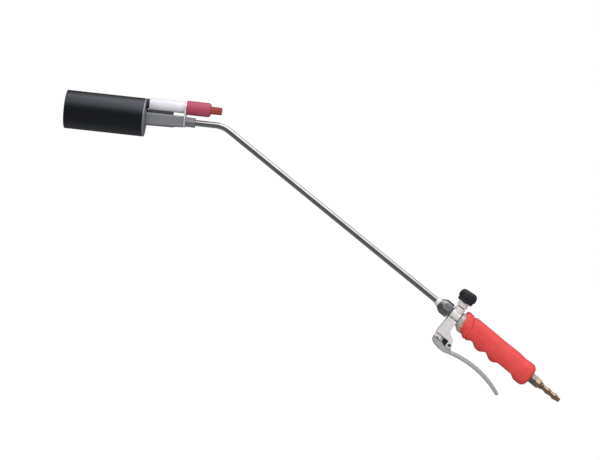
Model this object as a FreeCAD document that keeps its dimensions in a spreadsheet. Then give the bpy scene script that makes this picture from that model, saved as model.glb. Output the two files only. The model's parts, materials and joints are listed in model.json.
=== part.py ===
"""Propane torch: a bell burner with a push-button igniter on a bent neck tube, a lever valve and a grip.

Frame: origin on the grip's axis at its middle, +X along the grip towards the hose barb, +Z towards the
valve knob. Y = 0 is the plane of symmetry. Millimetres.
"""
import FreeCAD, Part
import math
import os

import Sketcher
from FreeCAD import Placement, Rotation, Vector

os.makedirs("parts", exist_ok=True)
doc = FreeCAD.newDocument("propane_torch")

DIMENSIONS = {
    # neck tube: straight along X, then one bend down to the burner
    "tube_radius": 4.0,
    "tube_wall": 1.0,
    "tube_rear_x": -84.0,
    "bend_corner_x": -460.0,
    "bend_angle": 33.0,
    "bend_radius": 35.0,
    "tube_front": 50.0,
    # burner head, measured forward from the bend corner along the burner's axis
    "head_nut_rear": 36.5,
    "head_nut_flats": 12.4,
    "head_nut_shoulder": 6.4,
    "plate_rear": 49.5,
    "plate_thickness": 2.0,
    "plate_half_width": 11.5,
    "plate_low": -7.2,
    "plate_high": 27.4,
    "support_spigot_rear": 46.2,
    "spigot_radius": 5.0,
    "support_half_width": 8.0,
    "support_top": 7.0,
    "support_low_rear": -7.0,
    "support_low_step": -7.6,
    "support_low_waist": -8.8,
    "support_low_front": -9.6,
    "support_step_start": 10.5,
    "support_step_end": 14.5,
    "support_rounding": 2.4,
    "support_overlap": 3.0,
    "support_front": 101.7,
    "boss_radius": 6.0,
    "boss_front": 112.0,
    "gas_bore": 1.6,
    "jet_thread": 3.45,
    "jet_flats": 9.0,
    "jet_front": 125.0,
    "jet_hex_length": 6.0,
    "jet_passage": 1.5,
    "jet_orifice": 0.5,
    "bell_radius": 25.0,
    "bell_rear": 103.7,
    "bell_mouth": 205.4,
    "bell_bore": 23.8,
    "bell_rear_bore": 23.5,
    "bell_step": 146.0,
    "cup_radius": 15.0,
    "cup_front": 140.0,
    "cup_wall": 1.0,
    "cup_hole_ring": 11.5,
    "cup_hole_radius": 2.0,
    "lock_nut_flats": 17.0,
    "lock_nut_length": 5.0,
    "air_hole_radius": 3.0,
    "air_ring_radius": 14.5,
    "back_flange_length": 8.0,
    "back_flange_wall": 1.2,
    # igniter, beside the burner's axis and parallel to it
    "igniter_offset": 18.5,
    "igniter_radius": 7.8,
    "igniter_bore": 6.05,
    "igniter_front": 98.0,
    "saddle_rear": 66.0,
    "saddle_half_width": 3.0,
    "collar_radius": 6.4,
    "cap_radius": 9.3,
    "cap_rear": 17.7,
    "cap_round": 4.0,
    "button_rear": 3.4,
    "button_radius": 5.0,
    "button_guide": 25.0,
    "button_travel": 5.0,
    "piezo_radius": 5.95,
    "piezo_rear": 34.0,
    "piezo_front": 92.0,
    "plunger_radius": 2.5,
    "insulator_radius": 2.5,
    "insulator_front": 122.0,
    "electrode_radius": 0.8,
    "electrode_front": 130.0,
    # coupling between the neck tube and the valve
    "sleeve_front_x": -102.0,
    "coupling_front_x": -97.0,
    "coupling_rear_x": -79.2,
    "coupling_flats": 19.0,
    "coupling_cone_radius": 5.9,
    "coupling_cone_length": 8.0,
    "olive_front_x": -90.0,
    "olive_rear_x": -87.2,
    "valve_spigot": 6.0,
    "neck_radius": 6.5,
    # valve body
    "barrel_front_x": -78.0,
    "barrel_rear_x": -64.2,
    "barrel_radius": 7.8,
    "passage_radius": 2.5,
    "rear_spigot_x": -57.0,
    "arm_front_x": -77.4,
    "arm_rear_x": -63.7,
    "arm_top": -6.0,
    "arm_low": -31.2,
    "arm_half_width": 8.5,
    "fork_half_gap": 5.7,
    "fork_top": -28.5,
    "lug_radius": 3.9,
    "pin_x": -52.9,
    "pin_z": -35.1,
    "pin_radius": 2.0,
    "pin_bore": 1.2,
    # knob and needle, on an axis that leans towards the burner
    "needle_x": -69.8,
    "knob_lean": 6.0,
    "boss_top": 12.6,
    "needle_boss_radius": 7.0,
    "gland_top": 20.0,
    "gland_radius": 7.1,
    "gland_thread": 4.55,
    "spindle_radius": 2.5,
    "spindle_thread": 3.4,
    "spindle_low": 5.3,
    "spindle_shoulder": 8.2,
    "spindle_thread_top": 12.4,
    "spindle_top": 33.0,
    "gland_low": 7.0,
    "gland_neck_relief": 2.0,
    "gland_neck_height": 1.2,
    "needle_radius": 2.0,
    "knob_low": 20.6,
    "knob_high": 37.0,
    "knob_radius": 12.3,
    "knob_rib_count": 20,
    "knob_scallop_radius": 1.3,
    "knob_scallop_length": 14.0,
    "knob_recess_radius": 3.5,
    "knob_recess_depth": 3.0,
    # lever-worked plunger in the arm
    "plunger_x": -70.3,
    "chamber_radius": 4.3,
    "seat_z": -8.0,
    "gland_bore": 4.9,
    "lower_gland_top": -24.5,
    "lower_gland_low": -36.1,
    "lower_gland_radius": 6.2,
    "stem_radius": 1.8,
    "poppet_radius": 3.9,
    "poppet_low": -12.0,
    "poppet_high": -9.6,
    "seal_high": -8.15,
    "eye_radius": 2.6,
    "eye_low": -42.4,
    "eye_high": -37.4,
    "cross_pin_z": -40.2,
    "cross_pin_radius": 1.2,
    "spring_radius": 3.1,
    "spring_wire": 0.4,
    "spring_pitch": 2.25,
    "ring_wire": 0.5,
    # squeeze lever
    "lever_half_width": 5.4,
    "lever_wall": 1.5,
    "lever_tail_x": 35.4,
    "ear_radius": 3.4,
    "buffer_half_width": 3.6,
    # handle
    "adapter_front_x": -63.25,
    "adapter_rear_x": -50.0,
    "adapter_corner": 14.1,
    "pipe_radius": 6.5,
    "pipe_bore": 4.0,
    "pipe_rear_x": 64.0,
    "grip_half_height": 16.0,
    "grip_half_width": 14.5,
    "grip_belly": 0.8,
    "grip_edge_radius": 12.0,
    "grip_end_radius": 5.0,
    "hollow_front_x": -32.5,
    "hollow_front_radius": 6.6,
    "hollow_rear_x": -9.1,
    "hollow_rear_radius": 7.0,
    "hollow_centre_z": -19.0,
    "palm_front_x": 11.5,
    "palm_rear_x": 34.5,
    "palm_z": -13.4,
    "palm_flare": 7.0,
    "palm_depth": 6.6,
    "grip_rear_x": 55.5,
    "grip_collar_top_x": -60.5,
    "grip_collar_middle_x": -57.1,
    "grip_collar_high_z": 11.7,
    "grip_collar_corner_z": -8.0,
    "grip_chin_x": -43.5,
    # hose end
    "rear_thread": 5.0,
    "rear_nut_flats": 13.0,
    "rear_nut_front_x": 56.6,
    "rear_nut_rear_x": 62.8,
    "barb_hex_rear_x": 70.2,
    "barb_crest": 4.3,
    "barb_root": 3.4,
    "barb_bore": 1.9,
    "barb_first_ridge_x": 82.6,
    "barb_second_ridge_x": 94.0,
    "barb_ridge_rise": 1.0,
    "barb_ridge_land": 2.0,
    "barb_rear_x": 104.0,
    # fits
    "running_gap": 0.05,
}

sheet = doc.addObject("Spreadsheet::Sheet", "Dims")
for row, (alias, number) in enumerate(DIMENSIONS.items(), start=1):
    sheet.set(f"A{row}", alias.replace("_", " "))
    sheet.set(f"B{row}", str(number))
    sheet.setAlias(f"B{row}", alias)
doc.recompute()


class Size:
    """A length with the sheet expression that gives it, so that sums of sizes stay bound to the sheet."""

    def __init__(self, value, text):
        self.value = float(value)
        self.text = text

    def __add__(self, other):
        other = as_size(other)
        return Size(self.value + other.value, f"({self.text} + {other.text})")

    def __sub__(self, other):
        other = as_size(other)
        return Size(self.value - other.value, f"({self.text} - {other.text})")

    def __mul__(self, factor):
        return Size(self.value * factor, f"({self.text} * {as_size(factor).text})")

    def __neg__(self):
        return self * -1.0


def as_size(number):
    """Turns a plain number into a Size, and leaves a Size as it is."""
    if isinstance(number, Size):
        return number
    return Size(number, f"({float(number):.6f})")


class Dimensions:
    """Gives each cell of the sheet as a Size, by its alias."""

    def __getattr__(self, alias):
        return Size(sheet.get(alias), f"Dims.{alias}")


dim = Dimensions()
GAP = dim.running_gap
HEX_CORNER = 2.0 / math.sqrt(3.0) / 2.0  # corner radius of a hexagon over its width across flats

BEND = math.radians(dim.bend_angle.value)
HEAD = Placement(
    Vector(dim.bend_corner_x.value, 0, 0),
    Rotation(Vector(0, 1, 0), -dim.bend_angle.value).multiply(Rotation(Vector(0, 0, 1), 180)),
)
IGNITER = HEAD.multiply(Placement(Vector(0, 0, dim.igniter_offset.value), Rotation()))
KNOB = Placement(Vector(dim.needle_x.value, 0, 0), Rotation(Vector(0, 1, 0), -dim.knob_lean.value))
PLUNGER = Placement(Vector(dim.plunger_x.value, 0, 0), Rotation())
MAIN = Placement()

bodies = []


def new_body(name, placement=MAIN):
    """Adds the body of one sub-part, whose label is its node name."""
    body = doc.addObject("PartDesign::Body", name)
    body.Label = name
    body.Placement = placement
    bodies.append(body)
    return body


def origin_plane(body, role):
    """Returns the body's own XY, XZ or YZ plane."""
    return next(item for item in body.Origin.OriginFeatures if item.Role == role)


def new_sketch(body, name, plane, offset=0, shift=0, turn=0):
    """Adds a sketch on a plane of the body, moved along its normal, shifted along its x axis and turned."""
    sketch = body.newObject("Sketcher::SketchObject", name)
    sketch.AttachmentSupport = (origin_plane(body, plane), [""])
    sketch.MapMode = "FlatFace"
    offset = as_size(offset)
    shift = as_size(shift)
    sketch.AttachmentOffset = Placement(
        Vector(shift.value, 0, offset.value), Rotation(Vector(0, 0, 1), as_size(turn).value)
    )
    sketch.setExpression("AttachmentOffset.Base.x", shift.text)
    sketch.setExpression("AttachmentOffset.Base.z", offset.text)
    return sketch


def arc_between(start, end, radius):
    """Returns the short arc from start to end. It turns left for a positive radius, else right."""
    chord = end - start
    side = Vector(-chord.y, chord.x, 0).normalize() * math.copysign(1.0, radius)
    rise = abs(radius) - math.sqrt(radius**2 - (chord.Length / 2) ** 2)
    middle = (start + end) * 0.5 - side * rise
    return Part.Arc(start, middle, end)


def add_outline(sketch, corners):
    """Draws a closed outline. A corner is (x, y), or (x, y, radius) if an arc leads to the next one."""
    places = [(as_size(corner[0]), as_size(corner[1])) for corner in corners]
    radii = [corner[2] if len(corner) == 3 else None for corner in corners]
    points = [Vector(x.value, y.value, 0) for x, y in places]
    first = sketch.GeometryCount
    count = len(points)
    ends = []
    for index, radius in enumerate(radii):
        start = points[index]
        end = points[(index + 1) % count]
        if radius is None:
            sketch.addGeometry(Part.LineSegment(start, end))
            ends.append((1, 2))
        else:
            sketch.addGeometry(arc_between(start, end, radius))
            ends.append((1, 2) if radius > 0 else (2, 1))
    for index in range(count):
        following = (index + 1) % count
        joined = (first + index, ends[index][1], first + following, ends[following][0])
        sketch.addConstraint(Sketcher.Constraint("Coincident", *joined))
    for index, (x, y) in enumerate(places):
        for kind, size in (("DistanceX", x), ("DistanceY", y)):
            place = (-1, 1, first + index, ends[index][0], size.value)
            number = sketch.addConstraint(Sketcher.Constraint(kind, *place))
            if "Dims" in size.text:
                sketch.setExpression(f"Constraints[{number}]", size.text)
    for index, radius in enumerate(radii):
        if radius is not None:
            sketch.addConstraint(Sketcher.Constraint("Radius", first + index, abs(radius)))


def add_circles(sketch, circles):
    """Draws circles given as (x, y, radius)."""
    for circle in circles:
        x, y, radius = (as_size(number) for number in circle)
        centre = Vector(x.value, y.value, 0)
        index = sketch.addGeometry(Part.Circle(centre, Vector(0, 0, 1), radius.value))
        limits = (
            ("DistanceX", (-1, 1, index, 3, x.value), x),
            ("DistanceY", (-1, 1, index, 3, y.value), y),
            ("Radius", (index, radius.value), radius),
        )
        for kind, place, size in limits:
            number = sketch.addConstraint(Sketcher.Constraint(kind, *place))
            if "Dims" in size.text:
                sketch.setExpression(f"Constraints[{number}]", size.text)


def feature(body, kind, profile):
    """Adds a PartDesign feature made from a sketch."""
    item = body.newObject(f"PartDesign::{kind}", f"{body.Name}_{kind}")
    item.Profile = profile
    return item


def turn(body, corners, axis="H_Axis", plane="XZ_Plane", shift=0, lean=0, cut=False):
    """Revolves an outline about its sketch's x (H_Axis) or y (V_Axis) axis, as material or as a cut."""
    sketch = new_sketch(body, f"{body.Name}_profile", plane, shift=shift, turn=lean)
    add_outline(sketch, corners)
    item = feature(body, "Groove" if cut else "Revolution", sketch)
    item.ReferenceAxis = (sketch, [axis])
    item.Angle = 360.0
    return finish_feature(body, item, cut)


def extrude(body, plane, corners=(), circles=(), start=0, length=0, midplane=False, cut=False):
    """Pads or pockets an outline or circles, from start along the plane's normal, or about the plane."""
    sketch = new_sketch(body, f"{body.Name}_outline", plane, offset=start)
    if corners:
        add_outline(sketch, corners)
    add_circles(sketch, circles)
    item = feature(body, "Pocket" if cut else "Pad", sketch)
    length = as_size(length)
    item.Length = length.value
    item.setExpression("Length", length.text)
    item.Midplane = midplane
    item.Reversed = cut and not midplane
    return finish_feature(body, item, cut)


def finish_feature(body, item, cut):
    """Recomputes, and stops if a cut removed nothing or material added nothing."""
    before = body.Tip.BaseFeature.Shape.Volume if body.Tip.BaseFeature else 0.0
    doc.recompute()
    after = item.Shape.Volume
    if (after >= before - 1e-6) if cut else (after <= before + 1e-6):
        raise RuntimeError(f"{item.Name} changed nothing: {before:.3f} to {after:.3f}")
    return item


def hexagon(flats, angle=0.0):
    """Corners of a hexagon of a given width across its flats, the first at angle degrees."""
    turns = [math.radians(angle + 60.0 * step) for step in range(6)]
    return [(flats * (HEX_CORNER * math.cos(a)), flats * (HEX_CORNER * math.sin(a))) for a in turns]


def box(low, high, bottom, top):
    """Corners of an upright rectangle."""
    return [(low, bottom), (high, bottom), (high, top), (low, top)]


def ring(low, high, inner, outer):
    """Half section of a plain ring about the x axis."""
    return box(low, high, inner, outer)


def bevel_hexagon(body, front, rear, flats, depth, slope=0.6):
    """Turns the corners off both ends of a hexagonal nut that lies along x."""
    corner = flats * HEX_CORNER
    over = corner + 1.0
    low = corner - depth
    run = (depth + 1.0) * slope
    for face, inward in ((front, run), (rear, -run)):
        turn(body, [(face, low), (face, over), (face + inward, over)], cut=True)


def round_edges(body, radius, near):
    """Rounds the edges whose middle lies at one of the points given in the body's frame."""
    base = body.Tip
    names = []
    for point in near:
        distances = [
            (edge.valueAt((edge.FirstParameter + edge.LastParameter) / 2) - Vector(*point)).Length
            for edge in base.Shape.Edges
        ]
        nearest = min(range(len(distances)), key=distances.__getitem__)
        names.append(f"Edge{nearest + 1}")
    item = body.newObject("PartDesign::Fillet", f"{body.Name}_Fillet")
    item.Base = (base, sorted(set(names)))
    item.Radius = radius
    doc.recompute()
    if item.Shape.isNull() or not item.Shape.isValid():
        raise RuntimeError(f"{item.Name} could not round its edges")
    return item


def make_turned(name, corners, placement=MAIN, axis="H_Axis"):
    """Makes a sub-part that is one revolved outline."""
    body = new_body(name, placement)
    turn(body, corners, axis)
    return body


# ---------------------------------------------------------------- neck tube


def make_neck_tube():
    """The steel tube: a straight run, one bend and a short front leg."""
    body = new_body("neck_tube")
    profile = new_sketch(body, "neck_tube_section", "YZ_Plane", offset=dim.tube_rear_x)
    add_circles(profile, [(0, 0, dim.tube_radius), (0, 0, dim.tube_radius - dim.tube_wall)])
    path = body.newObject("Sketcher::SketchObject", "neck_tube_path")
    path.AttachmentSupport = (origin_plane(body, "XZ_Plane"), [""])
    path.MapMode = "FlatFace"
    radius = dim.bend_radius
    tangent = radius.value * math.tan(BEND / 2)
    corner = dim.bend_corner_x.value
    ahead = Vector(-math.cos(BEND), -math.sin(BEND), 0)
    start = Vector(dim.tube_rear_x.value, 0, 0)
    bend_start = Vector(corner + tangent, 0, 0)
    bend_end = Vector(corner, 0, 0) + ahead * tangent
    front = Vector(corner, 0, 0) + ahead * dim.tube_front.value
    path.addGeometry(Part.LineSegment(start, bend_start))
    path.addGeometry(arc_between(bend_start, bend_end, radius.value))
    path.addGeometry(Part.LineSegment(bend_end, front))
    tangent_length = radius * math.tan(BEND / 2)
    rules = (
        ("Horizontal", (0,), None),
        ("DistanceX", (-1, 1, 0, 1, start.x), dim.tube_rear_x),
        ("PointOnObject", (0, 1, -1), None),
        ("DistanceX", (-1, 1, 0, 2, bend_start.x), dim.bend_corner_x + tangent_length),
        ("Tangent", (0, 2, 1, 1), None),
        ("Tangent", (1, 2, 2, 1), None),
        ("Radius", (1, radius.value), radius),
        ("DistanceX", (-1, 1, 2, 2, front.x), dim.bend_corner_x - dim.tube_front * math.cos(BEND)),
        ("DistanceY", (-1, 1, 2, 2, front.y), -dim.tube_front * math.sin(BEND)),
    )
    for kind, place, size in rules:
        number = path.addConstraint(Sketcher.Constraint(kind, *place))
        if size is not None:
            path.setExpression(f"Constraints[{number}]", size.text)
    pipe = feature(body, "AdditivePipe", profile)
    pipe.Spine = (path, ["Edge1", "Edge2", "Edge3"])
    doc.recompute()


# ---------------------------------------------------------------- burner head


def make_head_nut():
    """The union nut that pulls the neck tube into the burner support."""
    body = new_body("head_nut", HEAD)
    rear = dim.head_nut_rear
    front = dim.plate_rear
    extrude(body, "YZ_Plane", hexagon(dim.head_nut_flats), start=rear, length=front - rear)
    bevel_hexagon(body, rear, front, dim.head_nut_flats, 0.9)
    shoulder = rear + dim.head_nut_shoulder
    bore = [(rear, 0), (rear, dim.tube_radius + GAP), (shoulder, dim.tube_radius + GAP)]
    bore += [(shoulder, dim.spigot_radius + GAP), (front, dim.spigot_radius + GAP), (front, 0)]
    turn(body, bore, cut=True)


def make_head_ferrule():
    """The compression ring round the tube's front end."""
    rear = dim.head_nut_rear + 6.6
    front = dim.support_spigot_rear - GAP
    inner = dim.tube_radius + GAP * 0.6
    corners = [(rear, inner), (rear, dim.spigot_radius - 0.2), (rear + 1.2, dim.spigot_radius - 0.1)]
    corners += [(front, dim.tube_radius + 0.6), (front, inner)]
    make_turned("head_ferrule", corners, HEAD)


def make_burner_support():
    """The cast bracket between the neck and the bell, with the gas passage through it."""
    body = new_body("burner_support", HEAD)
    rear = dim.plate_rear + dim.plate_thickness
    front = dim.support_front
    top = dim.support_top
    side = [(rear, top), (rear, dim.support_low_rear)]
    side += [(rear + dim.support_step_start, dim.support_low_step)]
    side += [(rear + dim.support_step_end, dim.support_low_waist)]
    side += [(front, dim.support_low_front), (front, top)]
    extrude(body, "XZ_Plane", side, length=dim.support_half_width * 2.0, midplane=True)
    middle = (rear.value + front.value) / 2
    edges = [(middle, sign * dim.support_half_width.value, top.value) for sign in (1, -1)]
    edges += [(middle + 8, sign * dim.support_half_width.value, -9.2) for sign in (1, -1)]
    round_edges(body, dim.support_rounding.value, edges)
    overlap = dim.support_overlap
    turn(body, box(dim.support_spigot_rear, rear + overlap, 0, dim.spigot_radius))
    turn(body, box(front - overlap, dim.boss_front, 0, dim.boss_radius))
    socket = dim.tube_front + 0.2
    wide = dim.tube_radius + GAP
    bore = [(dim.support_spigot_rear, 0), (dim.support_spigot_rear, wide), (socket, wide)]
    bore += [(socket, dim.gas_bore), (front - overlap, dim.gas_bore)]
    bore += [(front - overlap, dim.jet_thread + GAP)]
    bore += [(dim.boss_front, dim.jet_thread + GAP), (dim.boss_front, 0)]
    turn(body, bore, cut=True)


def make_gas_jet():
    """The brass jet, screwed into the support's front boss."""
    body = new_body("gas_jet", HEAD)
    seat = dim.boss_front + dim.cup_wall
    rear = dim.boss_front - 12.0
    hex_length = dim.jet_hex_length
    extrude(body, "YZ_Plane", hexagon(dim.jet_flats), start=seat, length=hex_length)
    bevel_hexagon(body, seat, seat + hex_length, dim.jet_flats, 0.6)
    turn(body, box(rear, seat + 1.0, 0, dim.jet_thread))
    tip = [(seat + 5.0, 0), (seat + 5.0, 3.6), (seat + 7.0, 3.4), (dim.jet_front, 2.0), (dim.jet_front, 0)]
    turn(body, tip)
    passage = dim.jet_passage
    orifice = dim.jet_orifice
    bore = [(rear, 0), (rear, passage), (dim.jet_front - 4.0, passage), (dim.jet_front - 3.4, orifice)]
    bore += [(dim.jet_front, orifice), (dim.jet_front, 0)]
    turn(body, bore, cut=True)


def make_bell_back_plate():
    """The plate that closes the bell's rear, with air holes and a flange inside the bell."""
    body = new_body("bell_back_plate", HEAD)
    rear = dim.support_front
    face = dim.bell_rear
    lip = dim.bell_rear_bore - 0.1
    corners = [(rear, dim.boss_radius + GAP), (rear, dim.bell_radius - 0.6), (rear + 0.6, dim.bell_radius)]
    flange = face + dim.back_flange_length
    inner = lip - dim.back_flange_wall
    corners += [(face, dim.bell_radius), (face, lip), (flange, lip), (flange, inner)]
    corners += [(face, inner), (face, dim.boss_radius + GAP)]
    turn(body, corners)
    angles = [math.radians(90 + 45 * step) for step in range(1, 8)]
    holes = [
        (dim.air_ring_radius * math.cos(angle), dim.air_ring_radius * math.sin(angle), dim.air_hole_radius)
        for angle in angles
    ]
    holes.append((0, dim.igniter_offset, dim.insulator_radius + GAP))
    extrude(body, "YZ_Plane", circles=holes, start=rear - 1.0, length=4.0, cut=True)


def make_burner_bell():
    """The steel bell. Its front stretch has one plain bore, and a small step behind it."""
    mouth = dim.bell_mouth
    corners = [(dim.bell_rear, dim.bell_rear_bore), (dim.bell_rear, dim.bell_radius)]
    corners += [(mouth - 0.4, dim.bell_radius), (mouth, dim.bell_radius - 0.4), (mouth, dim.bell_bore)]
    corners += [(dim.bell_step, dim.bell_bore), (dim.bell_step - 0.6, dim.bell_rear_bore)]
    make_turned("burner_bell", corners, HEAD)


def make_bell_lock_nut():
    """The nut inside the bell that clamps its back plate to the support."""
    body = new_body("bell_lock_nut", HEAD)
    rear = dim.bell_rear
    front = rear + dim.lock_nut_length
    extrude(body, "YZ_Plane", hexagon(dim.lock_nut_flats), start=rear, length=front - rear)
    bevel_hexagon(body, rear, front, dim.lock_nut_flats, 0.8)
    turn(body, box(rear, front, 0, dim.boss_radius + GAP), cut=True)


def make_flame_holder():
    """The perforated cup round the jet that steadies the flame."""
    body = new_body("flame_holder", HEAD)
    rear = dim.boss_front
    wall = dim.cup_wall
    radius = dim.cup_radius
    shoulder = rear + 12.0
    corners = [(rear, dim.jet_thread + GAP), (rear, 8.5), (shoulder, radius), (dim.cup_front, radius)]
    corners += [(dim.cup_front, radius - wall), (shoulder + 0.4, radius - wall)]
    corners += [(rear + wall, 8.0), (rear + wall, dim.jet_thread + GAP)]
    turn(body, corners)
    angles = [math.radians(45 * step) for step in range(8)]
    around = dim.cup_hole_ring
    hole = dim.cup_hole_radius
    holes = [(around * math.cos(angle), around * math.sin(angle), hole) for angle in angles]
    extrude(body, "YZ_Plane", circles=holes, start=rear - 1.0, length=14.0, cut=True)


def make_igniter_plate():
    """The thin steel plate that carries the igniter beside the neck."""
    body = new_body("igniter_plate", HEAD)
    wide = dim.plate_half_width
    top = dim.plate_high
    outline = [(-6.0, dim.plate_low), (6.0, dim.plate_low), (wide, 4.0), (wide, top - 8.0)]
    outline += [(wide - 6.5, top), (-wide + 6.5, top), (-wide, top - 8.0), (-wide, 4.0)]
    extrude(body, "YZ_Plane", outline, start=dim.plate_rear, length=dim.plate_thickness)
    holes = [(0, 0, dim.spigot_radius + GAP), (0, dim.igniter_offset, dim.piezo_radius + 0.1)]
    extrude(body, "YZ_Plane", circles=holes, start=dim.plate_rear - 1.0, length=6.0, cut=True)


def make_igniter_saddle():
    """The black pad between the burner support and the igniter's body."""
    body = new_body("igniter_saddle", HEAD)
    half = dim.saddle_half_width
    low = dim.support_top + GAP
    high = dim.igniter_offset - dim.igniter_radius + 1.0
    length = dim.support_front - dim.saddle_rear
    extrude(body, "YZ_Plane", box(-half, half, low, high), start=dim.saddle_rear, length=length)
    seat = [(0, dim.igniter_offset, dim.igniter_radius + GAP)]
    extrude(body, "YZ_Plane", circles=seat, start=dim.saddle_rear - 1.0, length=length + 2.0, cut=True)


def make_igniter():
    """The piezo igniter: body, front collar, piezo unit, cap, button, plunger and electrode."""
    plate_front = dim.plate_rear + dim.plate_thickness
    front = dim.igniter_front
    outer = dim.igniter_radius
    bore = dim.igniter_bore
    corners = [(plate_front, bore), (plate_front, outer), (front - 0.6, outer), (front, outer - 0.6)]
    corners += [(front, bore)]
    make_turned("igniter_body", corners, IGNITER)

    hole = dim.insulator_radius + GAP
    collar = ring(front, dim.support_front, hole, dim.collar_radius)
    make_turned("igniter_front_collar", collar, IGNITER)

    well = dim.plunger_radius + GAP
    rear = dim.piezo_rear
    corners = [(rear, well), (rear, dim.piezo_radius), (dim.piezo_front, dim.piezo_radius)]
    corners += [(dim.piezo_front, 0), (rear + 14.0, 0), (rear + 14.0, well)]
    make_turned("piezo_unit", corners, IGNITER)

    guide = dim.button_radius + GAP
    corners = [(dim.cap_rear, guide), (dim.cap_rear, dim.cap_radius - dim.cap_round, -dim.cap_round.value)]
    corners += [(dim.cap_rear + dim.cap_round, dim.cap_radius), (dim.plate_rear, dim.cap_radius)]
    corners += [(dim.plate_rear, bore), (dim.button_guide, bore), (dim.button_guide, guide)]
    make_turned("igniter_cap", corners, IGNITER)

    button = dim.button_radius
    flange_rear = dim.button_guide + 0.3
    flange_front = flange_rear + 2.2
    corners = [(dim.button_rear, 0), (dim.button_rear, button - 2.0, -2.0), (dim.button_rear + 2.0, button)]
    corners += [(flange_rear, button), (flange_rear, button + 0.7), (flange_front, button + 0.7)]
    corners += [(flange_front, 0)]
    make_turned("igniter_button", corners, IGNITER)

    plunger = box(flange_front, flange_front + 13.0, 0, dim.plunger_radius)
    make_turned("piezo_plunger", plunger, IGNITER)

    electrode = dim.electrode_radius + GAP
    corners = [(dim.piezo_front, electrode), (dim.piezo_front, dim.insulator_radius)]
    corners += [(dim.insulator_front - 3.0, dim.insulator_radius), (dim.insulator_front, 1.6)]
    corners += [(dim.insulator_front, electrode)]
    make_turned("electrode_insulator", corners, IGNITER)

    corners = box(dim.piezo_front + 0.2, dim.electrode_front, 0, dim.electrode_radius)
    make_turned("electrode_pin", corners, IGNITER)


# ---------------------------------------------------------------- coupling and valve


def make_coupling():
    """The sleeve, union nut and compression ring that hold the neck tube in the valve."""
    tube = dim.tube_radius + GAP * 0.6
    corners = [(dim.sleeve_front_x, tube), (dim.sleeve_front_x, 4.6), (dim.sleeve_front_x + 1.0, 5.1)]
    corners += [(dim.coupling_front_x, 5.7), (dim.coupling_front_x, tube)]
    make_turned("neck_sleeve", corners)

    body = new_body("coupling_nut")
    front = dim.coupling_front_x
    rear = dim.coupling_rear_x
    extrude(body, "YZ_Plane", hexagon(dim.coupling_flats, 15.0), start=front, length=rear - front)
    over = dim.coupling_flats * HEX_CORNER + 1.0
    cone = [(front, dim.coupling_cone_radius), (front, over), (front + dim.coupling_cone_length, over)]
    turn(body, cone, cut=True)
    turn(body, [(rear, over - 2.6), (rear, over), (rear - 2.4, over)], cut=True)
    wide = dim.valve_spigot + GAP
    bore = [(front, 0), (front, dim.tube_radius + GAP), (dim.olive_front_x, dim.tube_radius + GAP)]
    bore += [(dim.olive_front_x, wide), (rear, wide), (rear, 0)]
    turn(body, bore, cut=True)

    corners = [(dim.olive_front_x, tube), (dim.olive_front_x, dim.valve_spigot - 0.1)]
    corners += [(dim.olive_rear_x, dim.tube_radius + 1.0), (dim.olive_rear_x, tube)]
    make_turned("compression_ring", corners)


def make_valve_body():
    """The plated casting: barrel, needle boss, plunger arm and the fork for the lever's pin."""
    body = new_body("valve_body")
    spigot_front = dim.olive_rear_x + 0.2
    shoulder = dim.coupling_rear_x + 0.4
    barrel = dim.barrel_radius
    corners = [(spigot_front, 0), (spigot_front, dim.valve_spigot), (shoulder, dim.valve_spigot)]
    corners += [(shoulder, dim.neck_radius), (dim.barrel_front_x, dim.neck_radius)]
    corners += [(dim.barrel_front_x, barrel - 0.6), (dim.barrel_front_x + 0.6, barrel)]
    corners += [(dim.barrel_rear_x - 0.6, barrel), (dim.barrel_rear_x, barrel - 0.6)]
    corners += [(dim.barrel_rear_x, dim.valve_spigot), (dim.rear_spigot_x, dim.valve_spigot)]
    corners += [(dim.rear_spigot_x, 0)]
    turn(body, corners)
    needle_boss = [(0, 0), (dim.needle_boss_radius, 0), (dim.needle_boss_radius, dim.boss_top - 0.5)]
    needle_boss += [(dim.needle_boss_radius - 0.5, dim.boss_top), (0, dim.boss_top)]
    turn(body, needle_boss, "V_Axis", shift=dim.needle_x, lean=dim.knob_lean)
    front = dim.arm_front_x
    rear = dim.arm_rear_x
    low = dim.arm_low
    top = dim.arm_top
    arm = [(front, top), (front, low), (dim.pin_x - dim.lug_radius, low)]
    arm += [(dim.pin_x - dim.lug_radius, dim.pin_z), (dim.pin_x + dim.lug_radius, dim.pin_z)]
    arm += [(dim.pin_x + 1.9, dim.pin_z + 4.4, 9.0), (dim.pin_x - 3.6, dim.pin_z + 10.2)]
    arm += [(rear + 2.9, dim.pin_z + 12.8, -7.0), (rear, -16.0), (rear, top)]
    extrude(body, "XZ_Plane", arm, length=dim.arm_half_width * 2.0, midplane=True)
    lug = [(dim.pin_x, dim.pin_z, dim.lug_radius)]
    extrude(body, "XZ_Plane", circles=lug, length=dim.arm_half_width * 2.0, midplane=True)
    gap = box(dim.arm_rear_x + 1.3, -40.0, -50.0, dim.fork_top)
    extrude(body, "XZ_Plane", gap, length=dim.fork_half_gap * 2.0, midplane=True, cut=True)
    half = dim.arm_half_width
    for sign in (1.0, -1.0):
        corner = [(front - 1.0, half * sign - 2.9 * sign), (front - 1.0, half * sign + 1.0 * sign)]
        corner.append((front + 2.9, half * sign + 1.0 * sign))
        extrude(body, "XY_Plane", corner, start=low - 1.0, length=24.0, cut=True)
    pin_hole = [(dim.pin_x, dim.pin_z, dim.pin_radius + 0.02)]
    extrude(body, "XZ_Plane", circles=pin_hole, length=dim.arm_half_width * 4.0, midplane=True, cut=True)
    bore_valve_body(body, spigot_front)


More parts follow.
